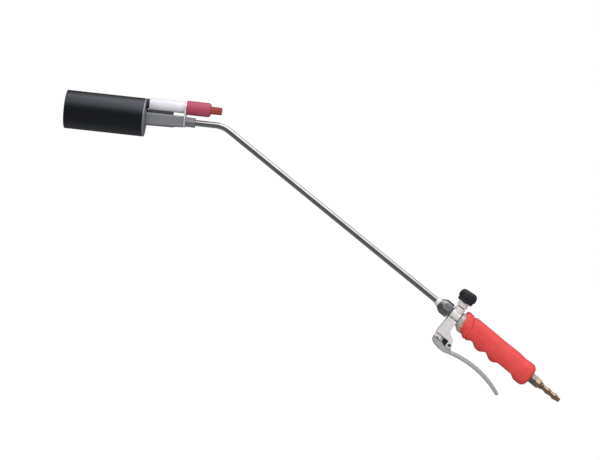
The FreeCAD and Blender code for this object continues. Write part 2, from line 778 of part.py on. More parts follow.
def bore_valve_body(body, spigot_front):
    """Drills the gas ways: outlet, inlet, needle bore, plunger chamber and the way between them."""
    socket = dim.tube_rear_x + 0.2
    wide = dim.tube_radius + GAP
    outlet = [(spigot_front, 0), (spigot_front, wide), (socket, wide), (socket, dim.passage_radius)]
    outlet += [(-75.0, dim.passage_radius), (-75.0, 0)]
    turn(body, outlet, cut=True)
    turn(body, box(-71.0, dim.rear_spigot_x, 0, dim.passage_radius), cut=True)
    thread = dim.gland_thread + GAP
    needle = [(0, -8.6), (1.5, -8.6), (1.5, -2.5), (2.9, -2.5), (2.9, 7.0), (thread, 7.0)]
    needle += [(thread, dim.boss_top), (0, dim.boss_top)]
    turn(body, needle, "V_Axis", shift=dim.needle_x, lean=dim.knob_lean, cut=True)
    chamber = [(0, dim.arm_low), (dim.gland_bore, dim.arm_low), (dim.gland_bore, dim.lower_gland_top)]
    chamber += [(dim.chamber_radius, dim.lower_gland_top), (dim.chamber_radius, dim.seat_z), (0, dim.seat_z)]
    turn(body, chamber, "V_Axis", shift=dim.plunger_x, cut=True)
    turn(body, box(0, 1.2, -14.0, 0), "V_Axis", shift=dim.plunger_x - 4.9, cut=True)


def make_needle_group():
    """The gland, its seal, the spindle, the needle, the knob and the knob's screw."""
    top = dim.boss_top
    gland = dim.gland_radius
    thread_bore = dim.spindle_thread + GAP
    stem_bore = dim.spindle_radius + 0.1
    groove_low = dim.gland_top - 4.0
    groove_high = dim.gland_top - 2.0
    groove = dim.spindle_radius + 1.3
    neck = gland - dim.gland_neck_relief
    neck_top = top + dim.gland_neck_height
    corners = [(thread_bore, dim.gland_low), (dim.gland_thread, dim.gland_low), (dim.gland_thread, top)]
    corners += [(neck, top), (neck, neck_top), (gland, neck_top)]
    corners += [(gland, dim.gland_top - 0.6), (gland - 0.6, dim.gland_top), (stem_bore, dim.gland_top)]
    corners += [(stem_bore, groove_high), (groove, groove_high), (groove, groove_low)]
    corners += [(stem_bore, groove_low), (stem_bore, 14.2), (thread_bore, 14.2)]
    make_turned("needle_gland", corners, KNOB, "V_Axis")

    middle = (groove_low + groove_high) * 0.5
    make_ring_seal("needle_o_ring", KNOB, dim.spindle_radius + 0.65, middle)

    low = dim.spindle_low
    stem = dim.spindle_radius
    shoulder = dim.spindle_shoulder
    thread_top = dim.spindle_thread_top
    spindle_top = dim.spindle_top
    corners = [(0, low), (1.6, low), (1.6, shoulder), (dim.spindle_thread, shoulder)]
    corners += [(dim.spindle_thread, thread_top), (stem, thread_top), (stem, spindle_top)]
    corners += [(1.3, spindle_top), (1.3, 27.5), (0, 27.5)]
    make_turned("knob_spindle", corners, KNOB, "V_Axis")

    needle = dim.needle_radius
    corners = [(0, -4.4), (0.6, -4.4), (needle, -1.2), (needle, low - 0.1), (0, low - 0.1)]
    make_turned("valve_needle", corners, KNOB, "V_Axis")

    body = new_body("control_knob", KNOB)
    radius = dim.knob_radius
    low = dim.knob_low
    high = dim.knob_high
    bore = stem + 0.02
    corners = [(bore, low), (9.6, low), (radius - 0.9, low + 2.0), (radius - 0.9, low + 3.0)]
    corners += [(radius - 1.6, low + 3.4), (radius - 1.6, low + 4.8), (radius - 0.4, low + 5.2, 22.0)]
    recess = dim.knob_recess_radius
    floor = high - dim.knob_recess_depth
    socket_top = spindle_top + 0.1
    corners += [(radius - 1.0, high - 2.4, 2.6), (9.0, high), (recess, high), (recess, floor)]
    corners += [(1.35, floor), (1.35, socket_top), (bore, socket_top)]
    turn(body, corners, "V_Axis")
    scallop = [(radius + 0.6, 0, dim.knob_scallop_radius)]
    length = dim.knob_scallop_length
    pocket = extrude(body, "XY_Plane", circles=scallop, start=low + 5.4, length=length, cut=True)
    pattern = body.newObject("PartDesign::PolarPattern", "control_knob_ribs")
    pattern.Originals = [pocket]
    pattern.Axis = (pocket.Profile[0], ["N_Axis"])
    pattern.Angle = 360.0
    pattern.Occurrences = int(dim.knob_rib_count.value)
    body.Tip = pattern
    doc.recompute()

    head = floor + 1.9
    corners = [(0, 28.0), (1.25, 28.0), (1.25, floor), (3.2, floor), (3.2, head - 0.7, 1.0)]
    corners += [(2.6, head), (0, head)]
    make_turned("knob_screw", corners, KNOB, "V_Axis")


def make_ring_seal(name, placement, centre_radius, height):
    """A rubber ring of round section about the z axis."""
    body = new_body(name, placement)
    sketch = new_sketch(body, f"{name}_section", "XZ_Plane")
    add_circles(sketch, [(centre_radius, height, dim.ring_wire)])
    item = feature(body, "Revolution", sketch)
    item.ReferenceAxis = (sketch, ["V_Axis"])
    item.Angle = 360.0
    doc.recompute()


def make_plunger_group():
    """The lever-worked plunger: poppet and stem, seal, spring, gland, stem seal, eye and cross pin."""
    stem = dim.stem_radius
    poppet = dim.poppet_radius
    corners = [(0, -38.8), (stem, -38.8), (stem, dim.poppet_low), (poppet, dim.poppet_low)]
    corners += [(poppet, dim.poppet_high), (1.9, dim.poppet_high), (1.9, dim.seal_high), (0, dim.seal_high)]
    make_turned("valve_plunger", corners, PLUNGER, "V_Axis")

    seal = box(1.95, 3.7, dim.poppet_high, dim.seal_high)
    make_turned("plunger_seal", seal, PLUNGER, "V_Axis")

    wide = dim.gland_bore - GAP
    slide = stem + GAP
    top = dim.lower_gland_top
    low = dim.lower_gland_low
    outer = dim.lower_gland_radius
    groove = stem + 1.15
    corners = [(slide, low), (outer - 0.6, low), (outer, low + 0.6), (outer, dim.arm_low)]
    corners += [(wide, dim.arm_low), (wide, top), (slide, top), (slide, top - 3.0), (groove, top - 3.0)]
    corners += [(groove, top - 4.4), (slide, top - 4.4)]
    make_turned("plunger_gland", corners, PLUNGER, "V_Axis")
    make_ring_seal("stem_o_ring", PLUNGER, stem + 0.56, top - 3.7)

    body = new_body("stem_eye", PLUNGER)
    eye = dim.eye_radius
    corners = [(0, dim.eye_low), (eye - 0.6, dim.eye_low), (eye, dim.eye_low + 0.6), (eye, dim.eye_high)]
    corners += [(stem + 0.02, dim.eye_high), (stem + 0.02, -38.85), (0, -38.85)]
    turn(body, corners, "V_Axis")
    hole = [(0, dim.cross_pin_z, dim.cross_pin_radius + 0.02)]
    extrude(body, "XZ_Plane", circles=hole, length=12.0, midplane=True, cut=True)

    body = new_body("plunger_cross_pin", PLUNGER)
    pin = [(0, dim.cross_pin_z, dim.cross_pin_radius)]
    extrude(body, "XZ_Plane", circles=pin, length=10.4, midplane=True)

    body = new_body("plunger_spring", PLUNGER)
    sketch = new_sketch(body, "plunger_spring_section", "XZ_Plane")
    first = dim.lower_gland_top + dim.spring_wire + 0.05
    add_circles(sketch, [(dim.spring_radius, first, dim.spring_wire)])
    coil = feature(body, "AdditiveHelix", sketch)
    coil.ReferenceAxis = (sketch, ["V_Axis"])
    coil.Mode = "pitch-height-angle"
    coil.Pitch = dim.spring_pitch.value
    coil.setExpression("Pitch", dim.spring_pitch.text)
    height = dim.poppet_low - dim.lower_gland_top - dim.spring_wire * 2.0 - 0.1
    coil.Height = height.value
    coil.setExpression("Height", height.text)
    doc.recompute()


# ---------------------------------------------------------------- lever


def make_lever():
    """The pressed channel lever and the roll pin that it turns on."""
    body = new_body("squeeze_lever")
    tail = dim.lever_tail_x
    wall = dim.lever_wall
    pin_x = dim.pin_x
    side = [(-75.9, -36.6, 10.0), (-71.0, -44.5), (-62.4, -46.8), (pin_x + 0.9, -46.4, -132.0)]
    side += [(tail, -46.8, 2.5), (tail, -42.3, 118.0), (pin_x + 6.9, -39.2), (pin_x + 3.3, dim.pin_z - 0.8)]
    side += [(pin_x - 3.3, dim.pin_z - 0.8), (pin_x - 4.0, -40.4), (-60.0, -38.4), (-63.0, -36.6)]
    extrude(body, "XZ_Plane", side, length=dim.lever_half_width * 2.0, midplane=True)
    ear = [(pin_x, dim.pin_z, dim.ear_radius)]
    extrude(body, "XZ_Plane", circles=ear, length=dim.lever_half_width * 2.0, midplane=True)
    channel = [(-80.0, -20.0), (-80.0, -55.0), (-66.0, -55.0), (-66.0, -44.2), (-62.2, -45.25)]
    channel += [(pin_x + 0.9, -44.95, -133.5), (tail - 2.2, -44.35), (tail - 2.2, -20.0)]
    inside = (dim.lever_half_width - wall) * 2.0
    extrude(body, "XZ_Plane", channel, length=inside, midplane=True, cut=True)
    slot = [(-72.1, -41.8), (-70.2, -41.8, 1.6), (-70.2, -38.6), (-72.1, -38.6, 1.6)]
    extrude(body, "XZ_Plane", slot, length=dim.lever_half_width * 4.0, midplane=True, cut=True)
    hole = [(pin_x, dim.pin_z, dim.pin_radius + GAP)]
    extrude(body, "XZ_Plane", circles=hole, length=dim.lever_half_width * 4.0, midplane=True, cut=True)

    body = new_body("lever_pin")
    pin = [(pin_x, dim.pin_z, dim.pin_radius), (pin_x, dim.pin_z, dim.pin_bore)]
    extrude(body, "XZ_Plane", circles=pin, length=dim.arm_half_width * 2.0 + 0.6, midplane=True)


def make_lever_buffer():
    """The rubber buffer in the fork, between the plunger's gland and the lever's pin."""
    body = new_body("lever_buffer")
    front = dim.arm_rear_x + 0.3
    wall = dim.arm_rear_x + 1.4
    rear = dim.pin_x - 4.2
    outline = [(wall, dim.fork_top - 0.05), (wall, dim.arm_low - 0.05), (front, dim.arm_low - 0.05)]
    outline += [(front, -38.0), (-60.0, -40.5), (rear, -40.5), (rear, dim.fork_top - 0.05)]
    extrude(body, "XZ_Plane", outline, length=dim.buffer_half_width * 2.0, midplane=True)


# ---------------------------------------------------------------- handle and hose end


def make_hex_adapter():
    """The brass adapter between the valve and the pipe in the handle."""
    body = new_body("hex_adapter")
    front = dim.adapter_front_x
    rear = dim.adapter_rear_x
    corner = dim.adapter_corner
    extrude(body, "YZ_Plane", hexagon(corner * math.sqrt(3.0), 90.0), start=front, length=rear - front)
    turn(body, [(front, 9.6), (front, 16.0), (front + 7.6, 16.0)], cut=True)
    thread = dim.valve_spigot + GAP
    bore = [(front, 0), (front, thread), (-56.8, thread), (-56.8, dim.pipe_radius + GAP)]
    bore += [(rear, dim.pipe_radius + GAP), (rear, 0)]
    turn(body, bore, cut=True)


def make_handle_pipe():
    """The pipe that runs through the grip and carries the gas."""
    rear = dim.pipe_rear_x
    radius = dim.pipe_radius
    corners = [(-56.6, dim.pipe_bore), (-56.6, radius), (dim.grip_rear_x, radius)]
    corners += [(dim.grip_rear_x, dim.rear_thread), (rear, dim.rear_thread), (rear, 3.0)]
    corners += [(dim.grip_rear_x, 3.0), (dim.grip_rear_x - 1.0, dim.pipe_bore)]
    make_turned("handle_pipe", corners)


def make_handle_grip():
    """The moulded grip, with a leaning front collar, finger hollows and a rounded rear."""
    body = new_body("handle_grip")
    high = dim.grip_half_height
    wide = dim.grip_half_width
    front = dim.grip_collar_top_x
    rear = dim.grip_rear_x
    belly = high + dim.grip_belly
    section = box(-wide, wide, -belly, high)
    extrude(body, "YZ_Plane", section, start=front, length=rear - front)
    long_edges = [(0, sy * wide.value, z) for sy in (1, -1) for z in (high.value, -belly.value)]
    round_edges(body, dim.grip_edge_radius.value, long_edges)
    ring_of_end = [edge for edge in body.Tip.Shape.Edges if edge.BoundBox.XMin > rear.value - 0.01]
    ends = [tuple(e.valueAt((e.FirstParameter + e.LastParameter) / 2)) for e in ring_of_end]
    round_edges(body, dim.grip_end_radius.value, ends)
    centre_z = dim.hollow_centre_z
    hollows = [(dim.hollow_front_x, centre_z, dim.hollow_front_radius)]
    hollows += [(dim.hollow_rear_x, centre_z, dim.hollow_rear_radius)]
    depth = wide * 4.0
    extrude(body, "XZ_Plane", circles=hollows, length=depth, midplane=True, cut=True)
    flare = dim.palm_flare
    palm_low = dim.palm_z - dim.palm_depth
    palm = [(dim.palm_front_x - flare, palm_low), (dim.palm_rear_x + flare, palm_low)]
    palm += [(dim.palm_rear_x, dim.palm_z), (dim.palm_front_x, dim.palm_z)]
    extrude(body, "XZ_Plane", palm, length=depth, midplane=True, cut=True)
    middle = dim.grip_collar_middle_x
    corner_z = dim.grip_collar_corner_z
    chin = dim.grip_chin_x
    collar = [(front - 2.0, -25.0), (chin, -25.0), (chin, -(belly + 0.1))]
    collar += [(chin - 6.7, corner_z - 5.7), (chin - 9.7, corner_z - 3.7), (middle + 0.7, corner_z)]
    collar += [(middle, 0), (front + 0.3, dim.grip_collar_high_z), (front - 0.5, 20.0), (front - 2.0, 20.0)]
    extrude(body, "XZ_Plane", collar, length=depth, midplane=True, cut=True)
    cavity = hexagon((dim.adapter_corner + 0.15) * math.sqrt(3.0), 90.0)
    rear_of_cavity = dim.adapter_rear_x + 0.1
    extrude(body, "YZ_Plane", cavity, start=front - 3.0, length=rear_of_cavity - front + 3.0, cut=True)
    turn(body, box(front, rear + 1.0, 0, dim.pipe_radius + GAP), cut=True)


def make_rear_washer():
    """The washer between the grip and the rear nut."""
    washer = ring(dim.grip_rear_x + GAP, dim.rear_nut_front_x, dim.rear_thread + GAP, 7.6)
    make_turned("rear_washer", washer)


def make_rear_nut():
    """The steel nut that holds the grip on its pipe."""
    body = new_body("rear_nut")
    front = dim.rear_nut_front_x
    rear = dim.rear_nut_rear_x
    extrude(body, "YZ_Plane", hexagon(dim.rear_nut_flats), start=front, length=rear - front)
    bevel_hexagon(body, front, rear, dim.rear_nut_flats, 0.7)
    turn(body, box(front, rear, 0, dim.rear_thread + GAP), cut=True)


def make_hose_barb():
    """The brass hose barb. Each crest has a short plain land."""
    body = new_body("hose_barb")
    front = dim.rear_nut_rear_x + 0.1
    hex_rear = dim.barb_hex_rear_x
    crest = dim.barb_crest
    root = dim.barb_root
    extrude(body, "YZ_Plane", hexagon(dim.rear_nut_flats), start=front, length=hex_rear - front)
    bevel_hexagon(body, front, hex_rear, dim.rear_nut_flats, 0.8)
    tail = [(hex_rear - 1.0, 0), (hex_rear - 1.0, 5.8), (hex_rear, 5.8), (hex_rear + 2.6, 4.5)]
    tail += [(hex_rear + 5.0, 4.4), (hex_rear + 6.2, root)]
    ridges = ((dim.barb_first_ridge_x, 3.8), (dim.barb_second_ridge_x, 3.6))
    for ridge, slope in ridges:
        land_end = ridge + dim.barb_ridge_land
        tail += [(ridge - dim.barb_ridge_rise, root), (ridge, crest)]
        tail += [(land_end, crest), (land_end + slope, root)]
    tail += [(dim.barb_rear_x - 1.2, 3.0), (dim.barb_rear_x, 2.5), (dim.barb_rear_x, 0)]
    turn(body, tail)
    thread = dim.rear_thread + GAP
    bore = [(front, 0), (front, thread), (dim.pipe_rear_x + 1.0, thread)]
    bore += [(dim.pipe_rear_x + 2.0, dim.barb_bore), (dim.barb_rear_x, dim.barb_bore), (dim.barb_rear_x, 0)]
    turn(body, bore, cut=True)


def write_parts():
    """Stops on any failed object or bad shape, then writes one STEP file for each sub-part."""
    for item in doc.Objects:
        if "Invalid" in item.State or "Error" in item.State:
            raise RuntimeError(f"{item.Name} failed: {item.State}")
    for body in bodies:
        shape = body.Shape
        if shape.isNull() or not shape.isValid() or not shape.Solids:
            raise RuntimeError(f"{body.Label} has no valid solid")
        shape.exportStep(f"parts/{body.Label}.step")
        print(f"{body.Label}: {len(shape.Solids)} solid(s), {shape.Volume:.1f} mm3")


make_neck_tube()
make_head_nut()
make_head_ferrule()
make_burner_support()
make_gas_jet()
make_bell_back_plate()
make_burner_bell()
make_bell_lock_nut()
make_flame_holder()
make_igniter_plate()
make_igniter_saddle()
make_igniter()
make_coupling()
make_valve_body()
make_needle_group()
make_plunger_group()
make_lever()
make_lever_buffer()
make_hex_adapter()
make_handle_pipe()
make_handle_grip()
make_rear_washer()
make_rear_nut()
make_hose_barb()
doc.recompute()
write_parts()
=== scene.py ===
import json
import math

import bmesh
import bpy
from mathutils import Matrix, Vector

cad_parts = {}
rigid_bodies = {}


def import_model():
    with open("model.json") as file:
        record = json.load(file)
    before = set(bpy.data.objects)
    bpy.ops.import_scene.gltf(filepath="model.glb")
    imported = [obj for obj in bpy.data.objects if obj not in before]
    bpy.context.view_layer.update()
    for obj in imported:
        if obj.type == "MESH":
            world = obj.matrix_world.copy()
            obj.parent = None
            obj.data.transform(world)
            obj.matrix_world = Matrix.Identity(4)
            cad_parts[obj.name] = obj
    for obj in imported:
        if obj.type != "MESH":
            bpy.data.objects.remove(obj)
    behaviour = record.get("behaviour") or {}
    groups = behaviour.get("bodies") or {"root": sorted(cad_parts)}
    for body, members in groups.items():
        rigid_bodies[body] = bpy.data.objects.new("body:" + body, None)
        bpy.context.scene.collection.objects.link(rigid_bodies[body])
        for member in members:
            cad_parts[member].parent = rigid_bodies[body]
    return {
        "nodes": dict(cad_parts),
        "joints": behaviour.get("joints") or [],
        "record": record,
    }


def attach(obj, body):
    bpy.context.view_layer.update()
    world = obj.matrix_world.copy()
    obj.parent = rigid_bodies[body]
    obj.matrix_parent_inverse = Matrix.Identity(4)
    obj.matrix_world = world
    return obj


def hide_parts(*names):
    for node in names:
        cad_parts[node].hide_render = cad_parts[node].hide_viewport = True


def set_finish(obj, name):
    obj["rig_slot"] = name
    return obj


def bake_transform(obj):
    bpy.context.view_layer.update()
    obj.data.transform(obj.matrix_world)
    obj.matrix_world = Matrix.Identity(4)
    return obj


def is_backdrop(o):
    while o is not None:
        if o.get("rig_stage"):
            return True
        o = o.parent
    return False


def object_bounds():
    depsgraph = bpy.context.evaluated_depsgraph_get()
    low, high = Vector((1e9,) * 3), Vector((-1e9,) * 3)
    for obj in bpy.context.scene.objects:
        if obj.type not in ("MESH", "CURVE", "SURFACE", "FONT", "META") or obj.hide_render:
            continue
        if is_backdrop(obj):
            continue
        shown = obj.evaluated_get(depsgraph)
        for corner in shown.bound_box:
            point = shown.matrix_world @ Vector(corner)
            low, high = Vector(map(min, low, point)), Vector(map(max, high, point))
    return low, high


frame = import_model()
cad_low, cad_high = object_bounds()

# Shapes are given in millimetres, in the frame of the piece, and scaled by MM when they become vertices.
# A corner of a turned outline is (distance along the axis, radius, rounding).
MM = 0.001
# Degrees by which the main view is rolled.
VIEW_ROLL = 39.25
# From the torch towards the overhead lamp.
LAMP_SIDE = Vector((-0.35, -0.25, 0.9))
# Sockets of a Mix node that mixes colours.
MIX_FACTOR, MIX_LOW, MIX_HIGH, MIX_RESULT = 0, 6, 7, 2
JOINTS = {joint["name"]: joint for joint in frame["joints"]}
MOUNTS = {mount["name"]: mount for mount in frame["record"]["mounts"]}
BODY_OF = {node: body for body, nodes in frame["record"]["behaviour"]["bodies"].items() for node in nodes}
SLOT_OF = {part["node"]: part["material_slot"] for part in frame["record"]["subparts"]}


# ------------------------------------------------------------------ frames

def axis_frame(origin, along):
    """A frame whose x axis is along, with z as near as it gets to world up in the torch's plane."""
    x = Vector(along).normalized()
    y = Vector((0.0, 1.0, 0.0)) if x.x > 0 else Vector((0.0, -1.0, 0.0))
    z = x.cross(y)
    return Matrix.Translation(Vector(origin)) @ Matrix((x, y, z)).transposed().to_4x4()


BEND_CORNER = Vector((-460.0, 0.0, 0.0)) * MM
HEAD = axis_frame(BEND_CORNER, MOUNTS["burner_mouth"]["axis"])
IGNITER = HEAD @ Matrix.Translation(Vector((0.0, 0.0, 18.5 * MM)))
MAIN = Matrix.Identity(4)
KNOB_AXIS = Vector(JOINTS["knob_turn"]["axis"]).normalized()
KNOB_FOOT = Vector(JOINTS["knob_turn"]["pos_m"])
KNOB_FOOT = KNOB_FOOT - KNOB_AXIS * (KNOB_FOOT.z / KNOB_AXIS.z)
KNOB = axis_frame(KNOB_FOOT, KNOB_AXIS)
PLUNGER = Matrix.Translation(Vector((-70.3 * MM, 0.0, 0.0))) @ Matrix.Rotation(-math.pi / 2, 4, "Y")


# ------------------------------------------------------------------ mesh building

def finish_piece(mesh, name, node, smooth_angle=35.0):
    """Makes an object of a mesh that stands for a CAD node and moves with its body."""
    piece = bpy.data.objects.new(name, mesh)
    bpy.context.scene.collection.objects.link(piece)
    shade(piece, smooth_angle)
    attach(piece, BODY_OF[node])
    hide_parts(node)
    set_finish(piece, SLOT_OF[node])


def shade(piece, angle):
    """Smooth shading, with edges sharper than an angle in degrees kept crisp."""
    mesh = piece.data
    for face in mesh.polygons:
        face.use_smooth = True
    limit = math.radians(angle)
    work = bmesh.new()
    work.from_mesh(mesh)
    for edge in work.edges:
        if len(edge.link_faces) == 2:
            edge.smooth = edge.calc_face_angle(0.0) < limit
    work.to_mesh(mesh)
    work.free()


def spin(name, node, place, outline_at, steps=96, warp=None, angle=35.0):
    """Builds a closed surface about a frame's x axis.

    outline_at(turn) gives a closed loop of (along, radius) in mm. warp moves each point before it is placed.
    """
    work = bmesh.new()
    rows = []
    for step in range(steps):
        turn = 2.0 * math.pi * step / steps
        row = []
        for along, radius in outline_at(turn):
            point = Vector((along, radius * math.cos(turn), radius * math.sin(turn)))
            if warp:
                point = warp(point)
            row.append(work.verts.new(place @ (point * MM)))
        rows.append(row)
    count = len(rows[0])
    for step in range(steps):
        here, there = rows[step], rows[(step + 1) % steps]
        for index in range(count):
            after = (index + 1) % count
            work.faces.new((here[index], here[after], there[after], there[index]))
    bmesh.ops.remove_doubles(work, verts=work.verts, dist=1e-6)
    bmesh.ops.recalc_face_normals(work, faces=work.faces)
    mesh = bpy.data.meshes.new(name)
    work.to_mesh(mesh)
    work.free()
    finish_piece(mesh, name, node, angle)


def rounded(corners, parts=3):
    """Rounds the corners of an outline. A rounding takes up less than half of the edges beside it."""
    edge_share, shortest = 0.45, 1e-9
    result = []
    count = len(corners)
    for index, corner in enumerate(corners):
        here, size = Vector(corner[:2]), corner[2]
        before = Vector(corners[index - 1][:2]) - here
        after = Vector(corners[(index + 1) % count][:2]) - here
        if size <= 0.0 or before.length < shortest or after.length < shortest:
            result.append(tuple(here))
            continue
        reach = min(size, before.length * edge_share, after.length * edge_share)
        start = here + before.normalized() * reach
        end = here + after.normalized() * reach
        for part in range(parts + 1):
            t = part / parts
            point = start * (1 - t) ** 2 + here * 2 * t * (1 - t) + end * t**2
            result.append(tuple(point))
    return result


def turned(name, node, place, corners, steps=96, parts=3):
    """A plain turned piece with softened corners."""
    outline = rounded(corners, parts)
    spin(name, node, place, lambda turn: outline, steps)


def hex_radius(turn, flats, first):
    """Distance from the axis to a hexagon's side, at an angle. first is the angle of one corner."""
    sector = math.pi / 3.0
    local = (turn - math.radians(first)) % sector - sector / 2.0
    return flats / 2.0 / math.cos(local)


def soft_min(a, b, blend):
    """The smaller of two lengths, blended over a short range."""
    mix = max(0.0, min(1.0, 0.5 + 0.5 * (b - a) / blend))
    return b * (1 - mix) + a * mix - blend * mix * (1 - mix)


def hex_nut(name, node, front, rear, flats, first, bore, front_cone, rear_cone, place=MAIN):
    """A hexagonal nut, with one corner at the angle first, in degrees.

    A cone is (radius at its face, rise per mm), and turns the corners off that end.
    """
    chamfer, face_inset, cone_blend, count = 0.3, 0.4, 0.35, 24
    corner_wear, worn_width = 0.15, 0.4
    corner = flats / math.sqrt(3.0)
    stations = []
    for step in range(count + 1):
        stations.append(front + (rear - front) * (0.5 - 0.5 * math.cos(math.pi * step / count)))

    def outline_at(turn):
        edge = hex_radius(turn, flats, first)
        edge -= corner_wear * max(0.0, 1.0 - (corner - edge) / worn_width)
        points = [(front, bore + chamfer), (front, front_cone[0] - face_inset)]
        for along in stations:
            front_limit = front_cone[0] + (along - front) * front_cone[1]
            rear_limit = rear_cone[0] + (rear - along) * rear_cone[1]
            points.append((along, soft_min(edge, min(front_limit, rear_limit), cone_blend)))
        points += [(rear, rear_cone[0] - face_inset), (rear, bore + chamfer)]
        points += [(rear - chamfer, bore), ((front + rear) / 2.0, bore), (front + chamfer, bore)]
        return points

    spin(name, node, place, outline_at, 180, angle=28.0)


def cast_copy(node, voxel, passes):
    """A copy of a CAD node with its edges softened: remeshed, then relaxed."""
    source = frame["nodes"][node]
    mesh = source.data.copy()
    name = f"{node}_skin"
    piece = bpy.data.objects.new(name, mesh)
    bpy.context.scene.collection.objects.link(piece)
    remesh = piece.modifiers.new("remesh", "REMESH")
    remesh.mode = "VOXEL"
    remesh.voxel_size = voxel * MM
    relax = piece.modifiers.new("relax", "SMOOTH")
    relax.factor = 0.5
    relax.iterations = passes
    bpy.context.view_layer.update()
    graph = bpy.context.evaluated_depsgraph_get()
    result = bpy.data.meshes.new_from_object(piece.evaluated_get(graph))
    bpy.data.objects.remove(piece)
    result.materials.clear()
    finish_piece(result, name, node, 60.0)


def slab(work, outline, inner_y, outer_y, rounding, parts=5):
    """A closed slab between two values of y, with the rim on its outer side rounded."""
    count = len(outline)
    inward = []
    area = sum(a[0] * b[1] - b[0] * a[1] for a, b in zip(outline, outline[1:] + outline[:1]))
    for index in range(count):
        along = (Vector(outline[(index + 1) % count]) - Vector(outline[index - 1])).normalized()
        inward.append(Vector((-along.y, along.x)) * math.copysign(1.0, area))
    way = math.copysign(1.0, outer_y - inner_y)
    loops = [(inner_y, 0.0)]
    for part in range(parts + 1):
        angle = math.pi / 2 * part / parts
        loops.append((outer_y - way * rounding * (1 - math.sin(angle)), rounding * (1 - math.cos(angle))))
    rings = []
    for y, inset in loops:
        points = [Vector(corner) + side * inset for corner, side in zip(outline, inward)]
        rings.append([work.verts.new(Vector((point.x, y, point.y)) * MM) for point in points])
    for here, there in zip(rings, rings[1:]):
        for index in range(count):
            after = (index + 1) % count
            work.faces.new((here[index], here[after], there[after], there[index]))
    work.faces.new(rings[0])
    work.faces.new(rings[-1])


def arc(centre, radius, start, end, parts):
    """Points on an arc, with its angles in degrees."""
    turns = [math.radians(start + (end - start) * part / parts) for part in range(parts + 1)]
    return [(centre[0] + radius * math.cos(turn), centre[1] + radius * math.sin(turn)) for turn in turns]


def bowed(start, end, radius, parts):
    """Points on the short arc from start to end that bulges upwards."""
    first, last = Vector(start), Vector(end)
    half = (last - first).length / 2
    across = (last - first).normalized()
    down = Vector((across.y, -across.x))
    down = down if down.y < 0 else -down
    centre = (first + last) / 2 + down * math.sqrt(radius**2 - half**2)
    spread = math.asin(half / radius)
    result = []
    for part in range(parts + 1):
        turn = spread * (2 * part / parts - 1)
        result.append(tuple(centre - down * radius * math.cos(turn) + across * radius * math.sin(turn)))
    return result


def smooth_curve(points, parts):
    """A smooth curve through points."""
    result = []
    for index in range(len(points) - 1):
        before, here = Vector(points[max(0, index - 1)]), Vector(points[index])
        there, after = Vector(points[index + 1]), Vector(points[min(len(points) - 1, index + 2)])
        for part in range(parts):
            t = part / parts
            linear = (there - before) * t
            square = (2 * before - 5 * here + 4 * there - after) * t**2
            cube = (3 * here - before - 3 * there + after) * t**3
            result.append(tuple(0.5 * (2 * here + linear + square + cube)))
    return result + [tuple(points[-1])]


# ------------------------------------------------------------------ materials

